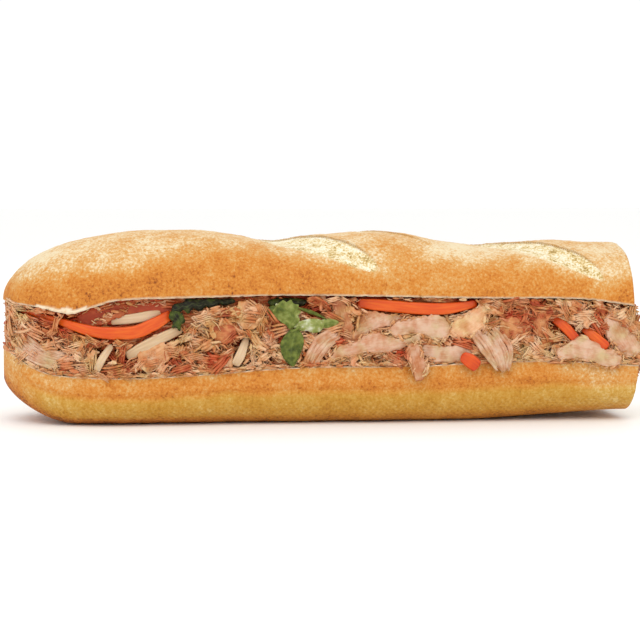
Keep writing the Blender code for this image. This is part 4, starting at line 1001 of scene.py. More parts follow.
def buildLeaflet(side, leaf, seed):
    # a thin blade inside its outline, crumpled, with a sunken midrib and side veins
    shape, out, shade, shiftX, shiftZ = leaf
    outline = [(x + shiftX, z + shiftZ) for x, z in leafShapes[shape]]
    middle, axis, t, low, high = outlineStrip(outline, leafLook["rings"])
    w = np.linspace(-1, 1, leafLook["spokes"])[None]
    t = t[:, None] + 0 * w
    v = ((high + low) / 2)[:, None] + w * np.maximum((high - low) / 2, 0.15)[:, None]
    flat = np.stack([t, v, seed + 0 * v], -1)
    crumple = leafLook["crumple"] * (noiseAt(flat, 4.5, 2.0) + 0.45 * noiseAt(flat, 1.8, 4.0))
    ribs = np.abs(np.sin((t + 0.9 * np.abs(v)) * math.pi / leafLook["veinGap"]))
    vein = np.minimum(np.exp(-(ribs / 0.2) ** 2) * 0.7 + np.exp(-(w / 0.07) ** 2), 1)
    height = out + crumple - leafLook["droop"] * w * w - leafLook["veinDepth"] * vein
    points = outlinePoints(side, middle, axis, t, v, height)
    tone = shade + 0.1 * np.abs(w) + 0.3 * noiseAt(flat, 2.2, 6.0, 2)
    return points.reshape(-1, 3), gridFaces(*points.shape[:2], closed=False), vein.ravel(), tone.ravel()


def thickened(verts, faces):
    # both faces of a thin blade and the wall between them along its edge
    pairs = {(a, b): 1 for face in faces for a, b in zip(face, face[1:] + face[:1])}
    edge = [(a, b) for a, b in pairs if (b, a) not in pairs]
    data = bpy.data.meshes.new("blade")
    data.from_pydata(verts.tolist(), [], faces)
    normals = np.zeros(len(verts) * 3, np.float32)
    data.vertices.foreach_get("normal", normals)
    bpy.data.meshes.remove(data)
    lift = normals.reshape(-1, 3) * leafLook["thickness"] / 2
    n = len(verts)
    flipped = [tuple(i + n for i in reversed(face)) for face in faces]
    wall = [(a + n, b + n, b, a) for a, b in edge]
    return np.vstack([verts + lift, verts - lift]), faces + flipped + wall


def buildSprig(name, spec):
    side = spec["side"]
    path = smoothPath(sidePoints(side, spec["stem"]), leafLook["stemSteps"])
    across, outward = pathFrame(path, sideNormals(side, path[:, 0]))[1:]
    turn = turnsRound(leafLook["stemSides"])[None, :, None]
    radius = leafLook["stemWidth"] / 2 * np.linspace(1.1, 0.75, len(path))[:, None, None]
    rings = path[:, None] + (across[:, None] * np.cos(turn) + outward[:, None] * np.sin(turn)) * radius
    verts, faces = closedSkin(rings)
    parts = [(verts, faces)]
    veins, tones = [np.full(len(verts), 0.5)], [np.full(len(verts), spec["stemTone"])]
    for k, leaf in enumerate(spec["leaflets"]):
        bladeVerts, bladeFaces, vein, tone = buildLeaflet(side, leaf, 13.7 * k + len(name))
        parts.append(thickened(bladeVerts, bladeFaces))
        veins.append(np.tile(vein, 2))
        tones.append(np.tile(tone, 2))
    verts, faces = joined(parts)
    keptParts.append((verts, faces))
    data = newMesh(name, verts, faces, {"vein": np.concatenate(veins), "tone": np.concatenate(tones)})
    addPiece("corianderSprig" + name.split("_")[1], data, leafMaterial, name)


for sprigName, sprigSpec in coriander.items():
    buildSprig(sprigName, sprigSpec)
print("coriander made")


# The shredded chicken
heap = {
    "coreInset": 9.0, "coreTipX": -121.5, "coreCutX": 118.4, "coreBumps": 1.7, "coreStations": 300,
    "coreSteps": 26, "coreGap": 0.35, "coreBulge": 1.2, "thicknessSpread": 0.18, "batchFaces": 185000,
    "seed": 29,
    # layers from the dark middle to the front: how many, how far behind the loaf's side, how brown, how much
    # painted shade
    "layers": [
        dict(count=1000, inset=(5.6, 9.0), tone=(0.5, 0.95), deep=(0.45, 0.9), size=(0.9, 1.3),
             kinds=(0, 1, 2, 9, 9, 5, 12)),
        dict(count=1900, inset=(2.8, 5.8), tone=(0.2, 0.8), deep=(0.05, 0.6), size=(0.75, 1.15),
             kinds=(0, 1, 2, 3, 5, 9, 10, 10, 12, 12)),
        dict(count=2300, inset=(0.4, 2.8), tone=(0.0, 0.6), deep=(0.0, 0.12), size=(0.7, 1.15),
             kinds=(0, 1, 1, 3, 5, 5, 10, 11, 12, 9)),
        dict(count=3000, inset=(0.6, 3.6), tone=(0.0, 0.7), deep=(0.0, 0.2), size=(0.6, 1.2),
             kinds=(11, 13, 13, 13, 13)),
        dict(count=4600, inset=(0.2, 2.8), tone=(-0.1, 0.55), deep=(0.0, 0.1), size=(0.6, 1.0),
             kinds=(6, 7, 8, 8, 14, 14, 14, 14)),
    ],
    # near the cut end the layers get less painted shade; a shred that finds no room is tried again straighter
    # and smaller
    "paleEnd": 8.0, "paleShare": 0.2, "spread": 0.8, "lean": 0.3, "leanShare": 0.55, "attempts": 4,
    "straighter": 0.6, "smaller": 0.92,
    # along the join with the lower half, at the cut end, in the heel and along the edges of the drawn slabs
    "join": dict(count=1500, rise=(0.2, 1.6), out=(-1.8, 0.3), spread=0.12, size=(0.6, 1.0),
                 tone=(0.1, 0.6), kinds=(8, 11, 13, 13, 13, 14, 14)),
    "cutEnd": dict(count=1500, depth=(-3.0, 0.8), reach=29, spread=0.8, size=(0.6, 1.1),
                   tone=(-0.1, 0.45), deep=(0, 0.06), kinds=(1, 3, 5, 8, 10, 11, 12, 13, 14)),
    "heelEnd": dict(count=420, depth=(-0.6, 1.6), reach=15, spread=0.8, size=(0.7, 1.0),
                    tone=(0.1, 0.7), deep=(0, 0.2), kinds=(3, 5, 8, 8, 10, 11, 13, 14)),
    "edges": dict(perMillimetre=2.4, jitter=0.5, out=(-0.6, 1.4), spread=0.5, size=(0.5, 1.0),
                  tone=(0.0, 0.5), most=5, kinds=(8, 11, 13, 13, 14, 14, 14)),
    "endRise": (0.05, 0.95),
    # room that a shred keeps: over the lower rim, under the upper one, beside the loaf and past its ends
    "clear": dict(gap=0.1, lower=0.3, upper=0.45, beside=0.45, tip=0.3, lowEnd=3.5, highEnd=0.4, highZ=38,
                  under=4.5, kept=0.15, sight=15.0),
    # zones of the front: lowest x, highest x, lowest z, highest z, how far behind the side, how much painted
    # shade and how much browner, and how level the shreds lie there
    "zones": [(-97, -50, 36.5, 50, 5.6, 0.45, 0.25, 0.3), (-50, -22, 45.8, 50, 5.6, 0.6, 0.2, 0.5),
              (-122, -98, 18, 33, 0.3, 0.0, -0.1, 0.5)],
    # spots of the front that are browner or paler (tone) and darker with painted shade: x, z, radius, tone,
    # painted shade
    "spots": [
        (-112.4, 34.2, 3, 0.3, 0.3), (-117.9, 37.7, 3.4, -0.25, 0), (-99.4, 26.5, 6.9, -0.25, 0),
        (-91.7, 31.2, 2.1, 0.4, 0.1), (-77.3, 26.5, 4.7, 0.4, 0.2), (-99.4, 22.2, 3.9, 0.35, 0.3),
        (-59.3, 25.2, 4.3, 0.4, 0.4), (-51.6, 41.7, 8.6, -0.2, 0), (-40.1, 35, 4.3, 0.3, 0.1),
        (-44.7, 24.6, 3.4, 0.5, 0.6), (-29.6, 42.2, 5.1, 0.1, 0), (-27.3, 28.3, 6.4, -0.15, 0),
        (-19.6, 34.8, 3.4, 0.35, 0.4), (-3.4, 45.2, 5.1, 0.45, 0.3), (77.2, 46.2, 9.4, 0.35, 0.35),
        (64.1, 44, 3, -0.2, 0), (70.8, 41.2, 3, 0.3, 0.7), (72.5, 34.5, 5.1, 0.15, 0),
        (81.6, 39.1, 3.9, 0.2, 0), (82.5, 28.5, 8.6, -0.1, 0), (79.3, 36.8, 1.7, 0.3, 0.8),
        (102.4, 38.2, 3.9, -0.25, 0), (105.9, 37.4, 2.1, 0.3, 0.6), (108.3, 41.7, 3.4, 0.4, 0.1),
        (53.4, 38.2, 6, -0.35, 0), (63.4, 29.1, 5.1, -0.2, 0), (4.4, 32.7, 2.1, 0.3, 0.8),
        (-78.3, 41.9, 4.3, 0.4, 0.2), (27.8, 27.5, 3.4, 0.4, 0.8), (51.4, 30.4, 3.4, 0.4, 0.5),
        (6.4, 24.2, 4.3, -0.05, 0.2), (-114.9, 25.9, 5.1, -0.25, 0), (101, 38, 3, -0.3, 0),
        (-102.0, 36.0, 3.0, 0.3, 0.7), (-108.0, 42.0, 4.0, 0.3, 0.3)],
    # soft lumps and sheets in the heap: out, thickness, tone, painted shade, whether shreds keep off it,
    # outline
    "lumps": [
        (-1.6, 2.8, 0.14, 0.0, 1, [(47.9, 34.1), (47.5, 37.2), (49.0, 39.9), (51.8, 41.9), (55.0, 43.4),
                                   (58.1, 45.3),
         (60.5, 46.1), (62.1, 44.1), (61.3, 41.0), (60.5, 37.9), (59.0, 35.2), (55.0, 34.0), (51.1, 33.3)]),
        (-1.9, 2.4, 0.3, 0.0, 0, [(-73.5, 28.9), (-70.4, 30.0), (-67.0, 31.9), (-63.5, 32.2), (-61.2, 30.6),
         (-60.9, 27.2), (-62.8, 24.1), (-65.9, 22.4), (-69.7, 21.7), (-72.8, 22.1), (-73.9, 24.2)]),
        (-1.5, 1.8, 0.4, 0.0, 1, [(111.7, 43.3), (114.1, 43.3), (117.3, 40.9), (120.5, 38.1), (123.0, 35.3),
         (122.2, 33.4), (119.0, 35.4), (115.8, 38.1), (112.5, 40.9)]),
        (-4.4, 2.4, 0.72, 0.1, 0, [(11.1, 45.6), (13.0, 45.2), (12.7, 41.0), (11.9, 36.3), (10.3, 32.4),
                                   (9.5, 33.2),
         (9.9, 38.2)]),
        (-2.2, 2.4, 0.2, 0.0, 0, [(-41.6, 28.4), (-38.9, 29.1), (-36.6, 27.6), (-37.0, 24.5), (-38.5, 21.4),
         (-40.9, 21.4), (-42.0, 24.5)]),
        (-6.2, 2.4, 0.98, 0.35, 1, [(-97.0, 41.6), (-93.9, 44.3), (-88.6, 45.9), (-80.9, 47.0),
                                    (-72.5, 47.2),
         (-64.9, 47.3), (-57.9, 46.5), (-55.6, 44.9), (-60.3, 43.0), (-68.7, 42.5), (-77.1, 40.8),
         (-84.8, 38.6), (-90.9, 37.8), (-95.5, 38.9)]),
        (-4.6, 1.4, 0.8, 0.1, 1, [(-90.6, 38.9), (-88.6, 40.8), (-84.8, 42.7), (-81.0, 44.3), (-78.3, 44.6),
         (-78.7, 42.7), (-82.5, 41.2), (-86.3, 39.3)]),
        (-1.8, 2.6, 0.62, 0.0, 0, [(66.8, 39.3), (69.6, 40.8), (73.6, 40.8), (76.8, 39.2), (78.0, 36.4),
                                   (76.8, 33.3),
         (73.6, 31.8), (70.4, 32.6), (67.6, 35.0)]),
        (-1.6, 2.6, 0.72, 0.05, 0, [(-44.7, 37.8), (-42.0, 39.3), (-38.5, 39.7), (-36.2, 37.7),
                                    (-35.9, 34.6),
         (-38.2, 31.9), (-41.3, 31.6), (-44.0, 33.5)]),
        (-2.4, 2.8, 0.34, 0.0, 0, [(-35.0, 47.3), (-31.9, 48.2), (-27.7, 47.4), (-25.4, 44.9),
                                   (-26.1, 41.0),
         (-28.1, 37.6), (-31.6, 36.5), (-34.3, 38.4), (-35.4, 43.0)]),
        (-2.0, 2.6, 0.5, 0.0, 0, [(81.6, 43.4), (84.4, 44.2), (86.8, 42.2), (86.4, 38.3), (84.9, 34.0),
                                  (82.5, 32.8),
         (80.9, 36.0), (80.4, 39.9)]),
        (-4.0, 2.0, 0.62, 0.0, 0, [(104.4, 43.5), (107.6, 43.5), (112.0, 41.9), (114.0, 39.5),
                                   (111.6, 38.4),
         (108.0, 40.0), (105.2, 41.2)])],
    # laid one by one: x, z, out, turn in degrees, kind, size, tone
    "laid": [(-106.0, 40.2, 0.2, 62, 1, 1.0, 0.2), (-104.6, 39.0, 0.0, 74, 3, 1.0, 0.3)],
}
# Kinds of shred: sizes in millimetres, each kept to a few dozen faces. Most are strips of fibres side by
# side that part at their ends (splay); the flakes are small torn lumps.
shredKinds = [
    dict(length=11, width=2.6, fibres=3, bow=1.0, wiggle=0.7, splay=0.25, flat=0.8, steps=5, sides=4),
    dict(length=9, width=3.2, fibres=4, bow=-0.7, wiggle=0.5, splay=0.15, flat=0.9, steps=4, sides=3),
    dict(length=13, width=1.8, fibres=2, bow=1.4, wiggle=1.2, splay=0.3, flat=0.9, steps=6, sides=4),
    dict(length=8, width=2.2, fibres=3, bow=0.6, wiggle=0.5, splay=0.5, flat=0.9, steps=4, sides=4),
    dict(length=10, width=1.5, fibres=2, bow=-1.3, wiggle=1.0, splay=0.5, flat=0.9, steps=5, sides=4),
    dict(length=6, width=2.9, fibres=3, bow=0.4, wiggle=0.3, splay=0.2, flat=0.8, steps=3, sides=5),
    dict(length=8, width=0.9, fibres=1, bow=0.9, wiggle=1.2, splay=0.0, flat=0.8, steps=7, sides=4),
    dict(length=10, width=0.65, fibres=1, bow=1.6, wiggle=1.7, splay=0.0, flat=0.9, steps=9, sides=3),
    dict(length=6, width=0.6, fibres=1, bow=-1.0, wiggle=1.1, splay=0.0, flat=0.9, steps=6, sides=3),
    dict(length=15, width=4.2, fibres=4, bow=1.2, wiggle=1.0, splay=0.2, flat=0.6, steps=5, sides=3),
    dict(length=4.2, width=2.4, depth=1.2, steps=4, sides=6),
    dict(length=3.4, width=1.4, depth=0.9, steps=3, sides=5),
    dict(length=6.0, width=2.8, depth=1.2, steps=5, sides=6),
    dict(length=2.6, width=0.9, depth=0.7, steps=3, sides=5),
    dict(length=4.6, width=0.5, fibres=1, bow=0.8, wiggle=0.9, splay=0.0, flat=0.9, steps=5, sides=3),
]
flakes = (10, 11, 12, 13)


def flakePoints(kind, k, u, turn):
    # a small torn lump: rings swelling to its middle, knocked about by noise
    path = np.stack([(u - 0.5) * kind["length"], 0 * u, 0 * u], -1)
    radius = np.sin(math.pi * (0.12 + 0.76 * u)) ** 0.5
    ring = np.stack([0 * turn, np.cos(turn) * kind["width"] / 2, np.sin(turn) * kind["depth"] / 2], -1)
    points = path[:, None] + ring[None] * radius[:, None, None]
    knocks = np.stack([noiseAt(points, 1.8, 5.0 * k + j) for j in range(3)], -1)
    return points + 0.34 * kind["width"] * knocks


def fibrePoints(kind, k, fibre, u, turn, draw):
    # one fibre of a strip, beside the others in its middle and parted from them at its ends
    middle = (fibre + 0.5) / kind["fibres"] - 0.5
    reach = kind["length"] * draw.uniform(0.75, 1.0)
    shift = draw.uniform(-0.12, 0.12) * kind["length"]
    apart = 1 + kind["splay"] * (2 * u - 1) ** 2 * draw.uniform(0.5, 1.6)
    sway = kind["wiggle"] * np.array([noise.noise((t * 2.3, k * 4.7 + fibre * 0.15, 0.6)) for t in u])
    lift = kind["bow"] * (0.4 - (2 * u - 1) ** 2) + draw.uniform(-0.2, 0.2)
    path = np.stack([(u - 0.5) * reach + shift, middle * kind["width"] * apart + sway, lift], -1)
    taper = np.sin(math.pi * (0.08 + 0.84 * u)) ** 0.5
    radius = kind["width"] / kind["fibres"] * draw.uniform(0.62, 0.8) * taper
    ring = np.stack([0 * turn, np.cos(turn), np.sin(turn) * kind["flat"]], -1)
    return path[:, None] + ring[None] * radius[:, None, None]


def buildKinds():
    # one small mesh for each kind of shred, in a collection of their own
    group = bpy.data.collections.new("shredKinds")
    draw = random.Random(3)
    for k, kind in enumerate(shredKinds):
        u = np.linspace(0, 1, kind["steps"] + 1)
        parts, lanes = [], []
        for fibre in range(kind.get("fibres", 1)):
            turn = turnsRound(kind["sides"]) + draw.uniform(0, 6)
            points = flakePoints(kind, k, u, turn) if k in flakes else fibrePoints(kind, k, fibre, u, turn,
                                                                                   draw)
            count = kind["sides"]
            last = kind["steps"] * count
            faces = gridFaces(len(u), count) + [list(range(count))[::-1], list(range(last, last + count))]
            parts.append((points.reshape(-1, 3), faces))
            lanes.append((points + [0, fibre, 3.0 * k]).reshape(-1, 3))
        verts, faces = joined(parts)
        data = newMesh("shredKind%d" % k, verts, faces, {"lane": np.vstack(lanes)})
        if k in flakes:
            data.shade_flat()
        group.objects.link(bpy.data.objects.new("shredKind%02d" % k, data))
    return group


def shredTree(group):
    # Geometry Nodes: one shred on each point, of the point's kind, turned and sized as the point says
    tree = bpy.data.node_groups.new("looseShreds", "GeometryNodeTree")
    tree.interface.new_socket("Geometry", in_out="INPUT", socket_type="NodeSocketGeometry")
    sockets = {
        name: tree.interface.new_socket(name, in_out="INPUT", socket_type="NodeSocket" + kind).identifier
        for name, kind in (("Shred Size", "Float"), ("Thickness Spread", "Float"), ("Seed", "Int"))}
    tree.interface.new_socket("Geometry", in_out="OUTPUT", socket_type="NodeSocketGeometry")
    given = addNode(tree, "NodeGroupInput").outputs
    turn, kind, size = [
        addNode(tree, "GeometryNodeInputNamedAttribute", {"data_type": form},
                {"Name": key}).outputs["Attribute"]
        for key, form in (("turn", "FLOAT_VECTOR"), ("kind", "INT"), ("size", "FLOAT"))]
    kinds = addNode(tree, "GeometryNodeCollectionInfo", {},
                    {"Collection": group, "Separate Children": True,
                     "Reset Children": True}).outputs["Instances"]
    low, high = [addNode(tree, "ShaderNodeMath", {"operation": way},
                         {0: 1.0, 1: given["Thickness Spread"]}).outputs[0] for way in ("SUBTRACT", "ADD")]
    vary = addNode(tree, "FunctionNodeRandomValue", {"data_type": "FLOAT"},
                   {2: low, 3: high, "Seed": given["Seed"]}).outputs[1]
    long = addNode(tree, "ShaderNodeMath", {"operation": "MULTIPLY"},
                   {0: size, 1: given["Shred Size"]}).outputs[0]
    thick = addNode(tree, "ShaderNodeMath", {"operation": "MULTIPLY"}, {0: long, 1: vary}).outputs[0]
    scale = addNode(tree, "ShaderNodeCombineXYZ", {}, {"X": long, "Y": thick, "Z": thick}).outputs[0]
    placed = addNode(tree, "GeometryNodeInstanceOnPoints", {}, {
        "Points": given["Geometry"], "Instance": kinds, "Pick Instance": True, "Instance Index": kind,
        "Rotation": turn, "Scale": scale}).outputs["Instances"]
    real = addNode(tree, "GeometryNodeRealizeInstances", {}, {"Geometry": placed}).outputs["Geometry"]
    painted = addNode(tree, "GeometryNodeSetMaterial", {},
                      {"Geometry": real, "Material": shredMaterial}).outputs["Geometry"]
    addNode(tree, "NodeGroupOutput", {}, {"Geometry": painted})
    return tree, sockets


def buildCore():
    # the middle that shows between the shreds
    xs = np.linspace(heap["coreTipX"], heap["coreCutX"], heap["coreStations"])[:, None]
    reach = np.maximum(halfWidth(xs) - heap["coreInset"], 3.0)
    low, high = bottomRim(xs) + heap["coreGap"], topRim(xs) - heap["coreGap"]
    share = np.linspace(0, 1, heap["coreSteps"])[None]
    rings = []
    for side, rise in ((front, share), (back, share[:, ::-1])):
        y = side * (reach + heap["coreBulge"] * np.sin(math.pi * rise))
        rings.append(np.stack([xs + 0 * rise, y, low + (high - low) * rise], -1))
    rings = np.concatenate(rings, 1)
    bumps = heap["coreBumps"] * (noiseAt(rings, 5.0, 2.0) + 0.6 * noiseAt(rings * [0.5, 1, 1.4], 2.0, 4.0))
    rings[..., 1] += np.sign(rings[..., 1]) * bumps * ease((reach - 3.0) / 6)
    verts, faces = closedSkin(rings)
    # painted shade: the middle is dark red-brown as shade deep in the heap, less at the open cut end
    tone = 0.75 + 0.2 * noiseAt(verts, 4.0, 8.0)
    deep = 0.8 - 0.55 * ease((verts[:, 0] - heap["coreCutX"] + 1.5) / 1.5)
    return newMesh("core", verts, faces, {"lane": verts, "tone": tone, "deep": deep})


def buildLumps():
    parts, lanes, tones, deeps = [], [], [], []
    for k, (out, thickness, tone, deep, keptClear, outline) in enumerate(heap["lumps"]):
        verts, faces, place, rim = drawnSlab(front, outline, out, thickness, sliceLook, 31.7 * k)
        parts.append((verts, faces))
        lanes.append(place)
        tones.append(tone + 0.12 * rim)
        deeps.append(np.full(len(verts), deep))
        if keptClear:
            nearParts.append((verts, faces))
            slabEdges.append((front, out, outline))
    verts, faces = joined(parts)
    return newMesh("lumps", verts, faces, {
        "lane": np.vstack(lanes), "tone": np.concatenate(tones), "deep": np.concatenate(deeps)})


def spotShift(x, z):
    # how much browner the filling is at one place of its front, and how much painted shade it has there
    brown, dark = 0.22 * noise.noise((x / 8.0, z / 8.0, 4.4)), 0.0
    for sx, sz, radius, tone, deep in heap["spots"]:
        weight = math.exp(-((x - sx) ** 2 + (z - sz) ** 2) / radius ** 2)
        brown += tone * weight
        dark += deep * weight
    return brown, dark


def opening(x):
    # lower and upper edge of the filling at x, and half the loaf's width there
    x = np.array(x)
    return float(bottomRim(x)), float(topRim(x)), float(halfWidth(x))


def outwardAt(side, x):
    return Vector(sideNormals(side, np.array([x]))[0])


def shredPoints():
    # where each loose shred lies, which way it points and what it is like
    draw = random.Random(heap["seed"])
    trees = []
    for parts in (keptParts, nearParts):
        verts, faces = joined(parts)
        trees.append(BVHTree.FromPolygons(verts.tolist(), faces))
    kept, near = trees
    room = heap["clear"]
    tipX, cutX = loaf["tipX"], loaf["cutX"]
    golden = 0.618034
    rows = []

    def tryShred(middle, outward, turn, kind, size, tone, deep, most=2):
        # Adds the shred if it has room. most is how many of its five test points may lie over a slab; a
        # number above five means that it may also lie over the pieces that are kept clear.
        level = Vector((0, 0, 1)).cross(outward)
        along = level * math.cos(turn) + Vector((0, 0, 1)) * math.sin(turn)
        along = (along + outward * draw.gauss(0, 0.22)).normalized()
        across = outward.cross(along).normalized()
        across = (across + outward * draw.gauss(0, 0.35)).normalized()
        up = along.cross(across).normalized()
        across = up.cross(along)
        spec = shredKinds[kind]
        reach, bow = spec["length"] * size / 2, spec.get("bow", 0.0)
        clear = (0.45 if kind in flakes else 0.6 / spec["fibres"]) * spec["width"] * size + room["gap"]
        over = 0
        for k in (-1.0, -0.5, 0.0, 0.5, 1.0):
            p = middle + along * reach * k + up * bow * size * (0.4 - k * k)
            low, high, width = opening(min(max(p.x, tipX + 0.2), cutX))
            within = low + clear * room["lower"] < p.z < high - clear * room["upper"]
            if p.x < cutX and abs(p.y) < width + room["beside"] and not within:
                return False
            pastEnd = room["lowEnd"] if p.z < room["highZ"] else room["highEnd"]
            if p.x < tipX + room["tip"] or p.x > cutX + pastEnd or p.z < low - room["under"]:
                return False
            if most > 5:
                continue
            if kept.find_nearest(p, clear + room["kept"])[0] is not None:
                return False
            if kept.ray_cast(p, -outward, room["sight"])[0] is not None:
                return False
            over += near.ray_cast(p, -outward, room["sight"])[0] is not None
        if over > most:
            return False
        turns = Matrix((along, across, up)).transposed().to_euler("XYZ")
        brown, dark = spotShift(middle.x if middle.y < 0 else -middle.x, middle.z)
        rows.append((*middle, *turns, kind, size, tone + brown, min(deep + dark, 1.0)))
        return True

    def tryDrawn(middle, outward, turn, spec):
        kind = draw.choice(spec["kinds"])
        size, tone = draw.uniform(*spec["size"]), draw.uniform(*spec["tone"])
        deep = draw.uniform(*spec["deep"]) if "deep" in spec else 0.0
        tryShred(middle, outward, turn, kind, size, tone, deep, spec.get("most", 2))

    step = 0
    for layer in heap["layers"]:
        for k in range(layer["count"]):
            step += 1
            side = front if k % 2 else back
            x = tipX + 1.5 + (cutX - tipX - 1.5) * ((step * golden) % 1)
            low, high, width = opening(x)
            z = low + (high - low) * draw.uniform(0.02, 0.98)
            inset = draw.uniform(*layer["inset"])
            deep = draw.uniform(*layer["deep"]) * (heap["paleShare"] if x > cutX - heap["paleEnd"] else 1)
            tone = draw.uniform(*layer["tone"])
            spread = heap["spread"]
            for x0, x1, z0, z1, behind, darker, browner, lie in heap["zones"]:
                if side == front and x0 < x < x1 and z0 < z < z1:
                    inset = max(inset, behind)
                    deep = max(deep, darker * draw.uniform(0.6, 1.0))
                    tone += browner
                    spread *= lie
            kind = draw.choice(layer["kinds"])
            size = draw.uniform(*layer["size"])
            middle, outward = Vector((x, side * (width - inset), z)), outwardAt(side, x)
            for attempt in range(heap["attempts"]):
                turn = draw.gauss(0, spread)
                turn += heap["lean"] if draw.random() < heap["leanShare"] else -heap["lean"]
                if tryShred(middle, outward, turn, kind, size, tone, deep):
                    break
                spread *= heap["straighter"]
                size *= heap["smaller"]
    spec = heap["join"]
    for k in range(spec["count"]):
        side = front if k % 2 else back
        x = tipX + 3 + (cutX - tipX - 4) * ((k * golden) % 1)
        low, high, width = opening(x)
        z = low + draw.uniform(*spec["rise"])
        y = side * (width + draw.uniform(*spec["out"]))
        tryDrawn(Vector((x, y, z)), outwardAt(side, x), draw.gauss(0, spec["spread"]), spec)
    spec = heap["cutEnd"]
    for k in range(spec["count"]):
        x = cutX + draw.uniform(*spec["depth"])
        low, high, width = opening(x)
        y = draw.uniform(-spec["reach"], spec["reach"])
        z = low + (high - low) * draw.uniform(*heap["endRise"])
        tryDrawn(Vector((x, y, z)), Vector((1, 0, 0)), draw.gauss(0, spec["spread"]), spec)
    spec = heap["heelEnd"]
    for k in range(spec["count"]):
        y = draw.uniform(-spec["reach"], spec["reach"])
        x = tipX + 1.8 + draw.uniform(*spec["depth"]) + (y / spec["reach"]) ** 2 * 2.6
        low, high, width = opening(x)
        z = low + (high - low) * draw.uniform(*heap["endRise"])
        tryDrawn(Vector((x, y, z)), Vector((-1, y * 0.05, 0)).normalized(), draw.gauss(0, spec["spread"]),
                 spec)
    for x, z, out, degrees, kind, size, tone in heap["laid"]:
        middle = Vector(sidePoints(front, [(x, z, out)])[0])
        tryShred(middle, outwardAt(front, x), math.radians(degrees), kind, size, tone, 0.0, 9)
    spec = heap["edges"]
    for side, out, outline in slabEdges:
        ring = np.array(outline + outline[:1])
        for a, b in zip(ring, ring[1:]):
            for k in range(int(np.hypot(*(b - a)) * spec["perMillimetre"])):
                x, z = a + (b - a) * draw.random() + [draw.gauss(0, spec["jitter"]),
                                                      draw.gauss(0, spec["jitter"])]
                y = side * (opening(x)[2] + out + draw.uniform(*spec["out"]))
                turn = math.atan2(b[1] - a[1], -side * (b[0] - a[0])) + draw.gauss(0, spec["spread"])
                tryDrawn(Vector((x, y, z)), outwardAt(side, x), turn, spec)
    print("shreds placed:", len(rows))
    return rows


def scatter(name, rows, tree, sockets, seed):
    # points with their attributes, through the tree, to a plain mesh
    rows = np.array(rows)
    data = bpy.data.meshes.new(name)
    data.from_pydata((rows[:, :3] * mm).tolist(), [], [])
    for key, columns, form, value, number in (
            ("turn", slice(3, 6), "FLOAT_VECTOR", "vector", np.float32),
            ("kind", 6, "INT", "value", np.int32), ("size", 7, "FLOAT", "value", np.float32),
            ("tone", 8, "FLOAT", "value", np.float32), ("deep", 9, "FLOAT", "value", np.float32)):
        attribute = data.attributes.new(key, form, "POINT")
        attribute.data.foreach_set(value, rows[:, columns].astype(number).ravel())
    holder = bpy.data.objects.new(name, data)
    bpy.context.scene.collection.objects.link(holder)
    nodes = holder.modifiers.new("Shreds", "NODES")
    nodes.node_group = tree
    for key, value in (("Shred Size", 1.0), ("Thickness Spread", heap["thicknessSpread"]), ("Seed", seed)):
        nodes[sockets[key]] = value
    result = bpy.data.meshes.new_from_object(holder.evaluated_get(bpy.context.evaluated_depsgraph_get()))
    bpy.data.objects.remove(holder)
    result.name = name
    return addPiece(name, result, shredMaterial, "chicken_shreds")


addPiece("shreddedChickenMiddle", buildCore(), shredMaterial, "chicken_shreds")
addPiece("shreddedChickenLumps", buildLumps(), shredMaterial, "chicken_shreds")
kindGroup = buildKinds()
kindObjects = sorted(kindGroup.objects, key=lambda o: o.name)
looseTree, looseSockets = shredTree(kindGroup)
faceCounts = [sum(len(p.vertices) - 2 for p in o.data.polygons) for o in kindObjects]
batches, batchFaces = [[]], 0
for row in shredPoints():
    if batchFaces > heap["batchFaces"]:
        batches.append([])
        batchFaces = 0
    batches[-1].append(row)
    batchFaces += faceCounts[row[6]]
for number, batch in enumerate(batches, 1):
    piece = scatter("shreddedChicken%d" % number, batch, looseTree, looseSockets, number)
    print(piece.name, len(piece.data.polygons), "faces")
for kindObject in kindObjects:
    bpy.data.objects.remove(kindObject)
bpy.data.collections.remove(kindGroup)
print("shredded chicken made")


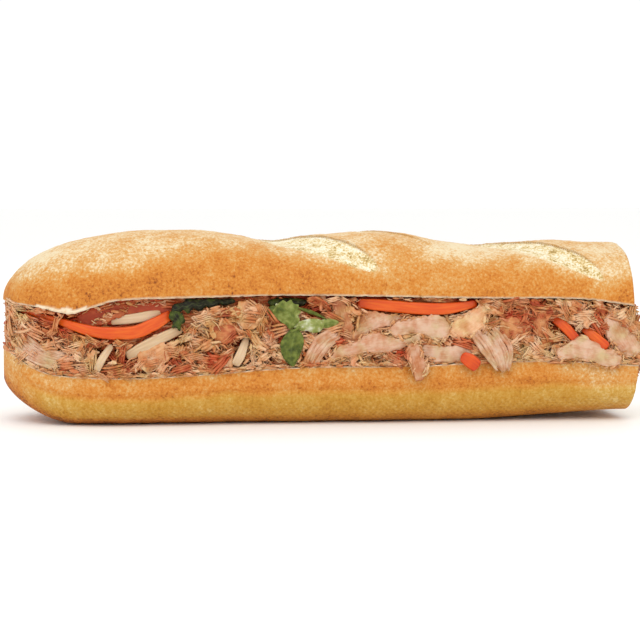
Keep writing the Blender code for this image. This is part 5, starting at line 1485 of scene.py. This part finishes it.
# Floor, light and camera
studio = {
    "azimuth": -6.0, "elevation": 4.0, "distance": 0.8, "lens": 111.8, "target": (0.0, 0.0, 0.0383),
    "worldLight": 1.04, "floorHalf": 6.0, "floorZ": -0.0002, "lampAim": (0, 0, 0.04),
    # power, size and place of each lamp
    "lamps": {"keyLight": (4.0, 0.9, (-0.25, -0.75, 0.95)), "fillLight": (1.5, 1.2, (0.5, -1.1, 0.35)),
              "backLight": (1.5, 1.2, (0.0, 1.2, 0.7))},
}


def buildStudio():
    scene = bpy.context.scene
    scene.view_settings.view_transform = "Standard"
    world = bpy.data.worlds.new("whiteRoom")
    scene.world = world
    world.use_nodes = True
    setInputs(world.node_tree.nodes["Background"],
              {"Color": (1.0, 1.0, 1.0, 1.0), "Strength": studio["worldLight"]})
    floorData = bpy.data.meshes.new("floor")
    size, z = studio["floorHalf"], studio["floorZ"]
    floorData.from_pydata([(-size, -size, z), (size, -size, z), (size, size, z), (-size, size, z)], [],
                          [(0, 1, 2, 3)])
    floor = bpy.data.objects.new("floor", floorData)
    scene.collection.objects.link(floor)
    # a matt, nearly white table
    paint, tree, shader = newMaterial("whitePaintedTable")
    setInputs(shader, {"Base Color": linearColour("#FAFAF8"), "Roughness": 0.75})
    floorData.materials.append(paint)
    for name, (power, size, place) in studio["lamps"].items():
        data = bpy.data.lights.new(name, "AREA")
        data.energy = power
        data.size = size
        lamp = bpy.data.objects.new(name, data)
        lamp.location = place
        lamp.rotation_euler = (Vector(studio["lampAim"]) - Vector(place)).to_track_quat("-Z",
                                                                                        "Y").to_euler()
        scene.collection.objects.link(lamp)
    azimuth, elevation = math.radians(studio["azimuth"]), math.radians(studio["elevation"])
    away = Vector((math.sin(azimuth) * math.cos(elevation), -math.cos(azimuth) * math.cos(elevation),
                   math.sin(elevation)))
    data = bpy.data.cameras.new("camera")
    data.lens = studio["lens"]
    data.clip_start, data.clip_end = 0.01, 50.0
    camera = bpy.data.objects.new("camera", data)
    camera.location = Vector(studio["target"]) + away * studio["distance"]
    camera.rotation_euler = (-away).to_track_quat("-Z", "Y").to_euler()
    scene.collection.objects.link(camera)
    scene.camera = camera


buildStudio()
print("floor, light and camera made")
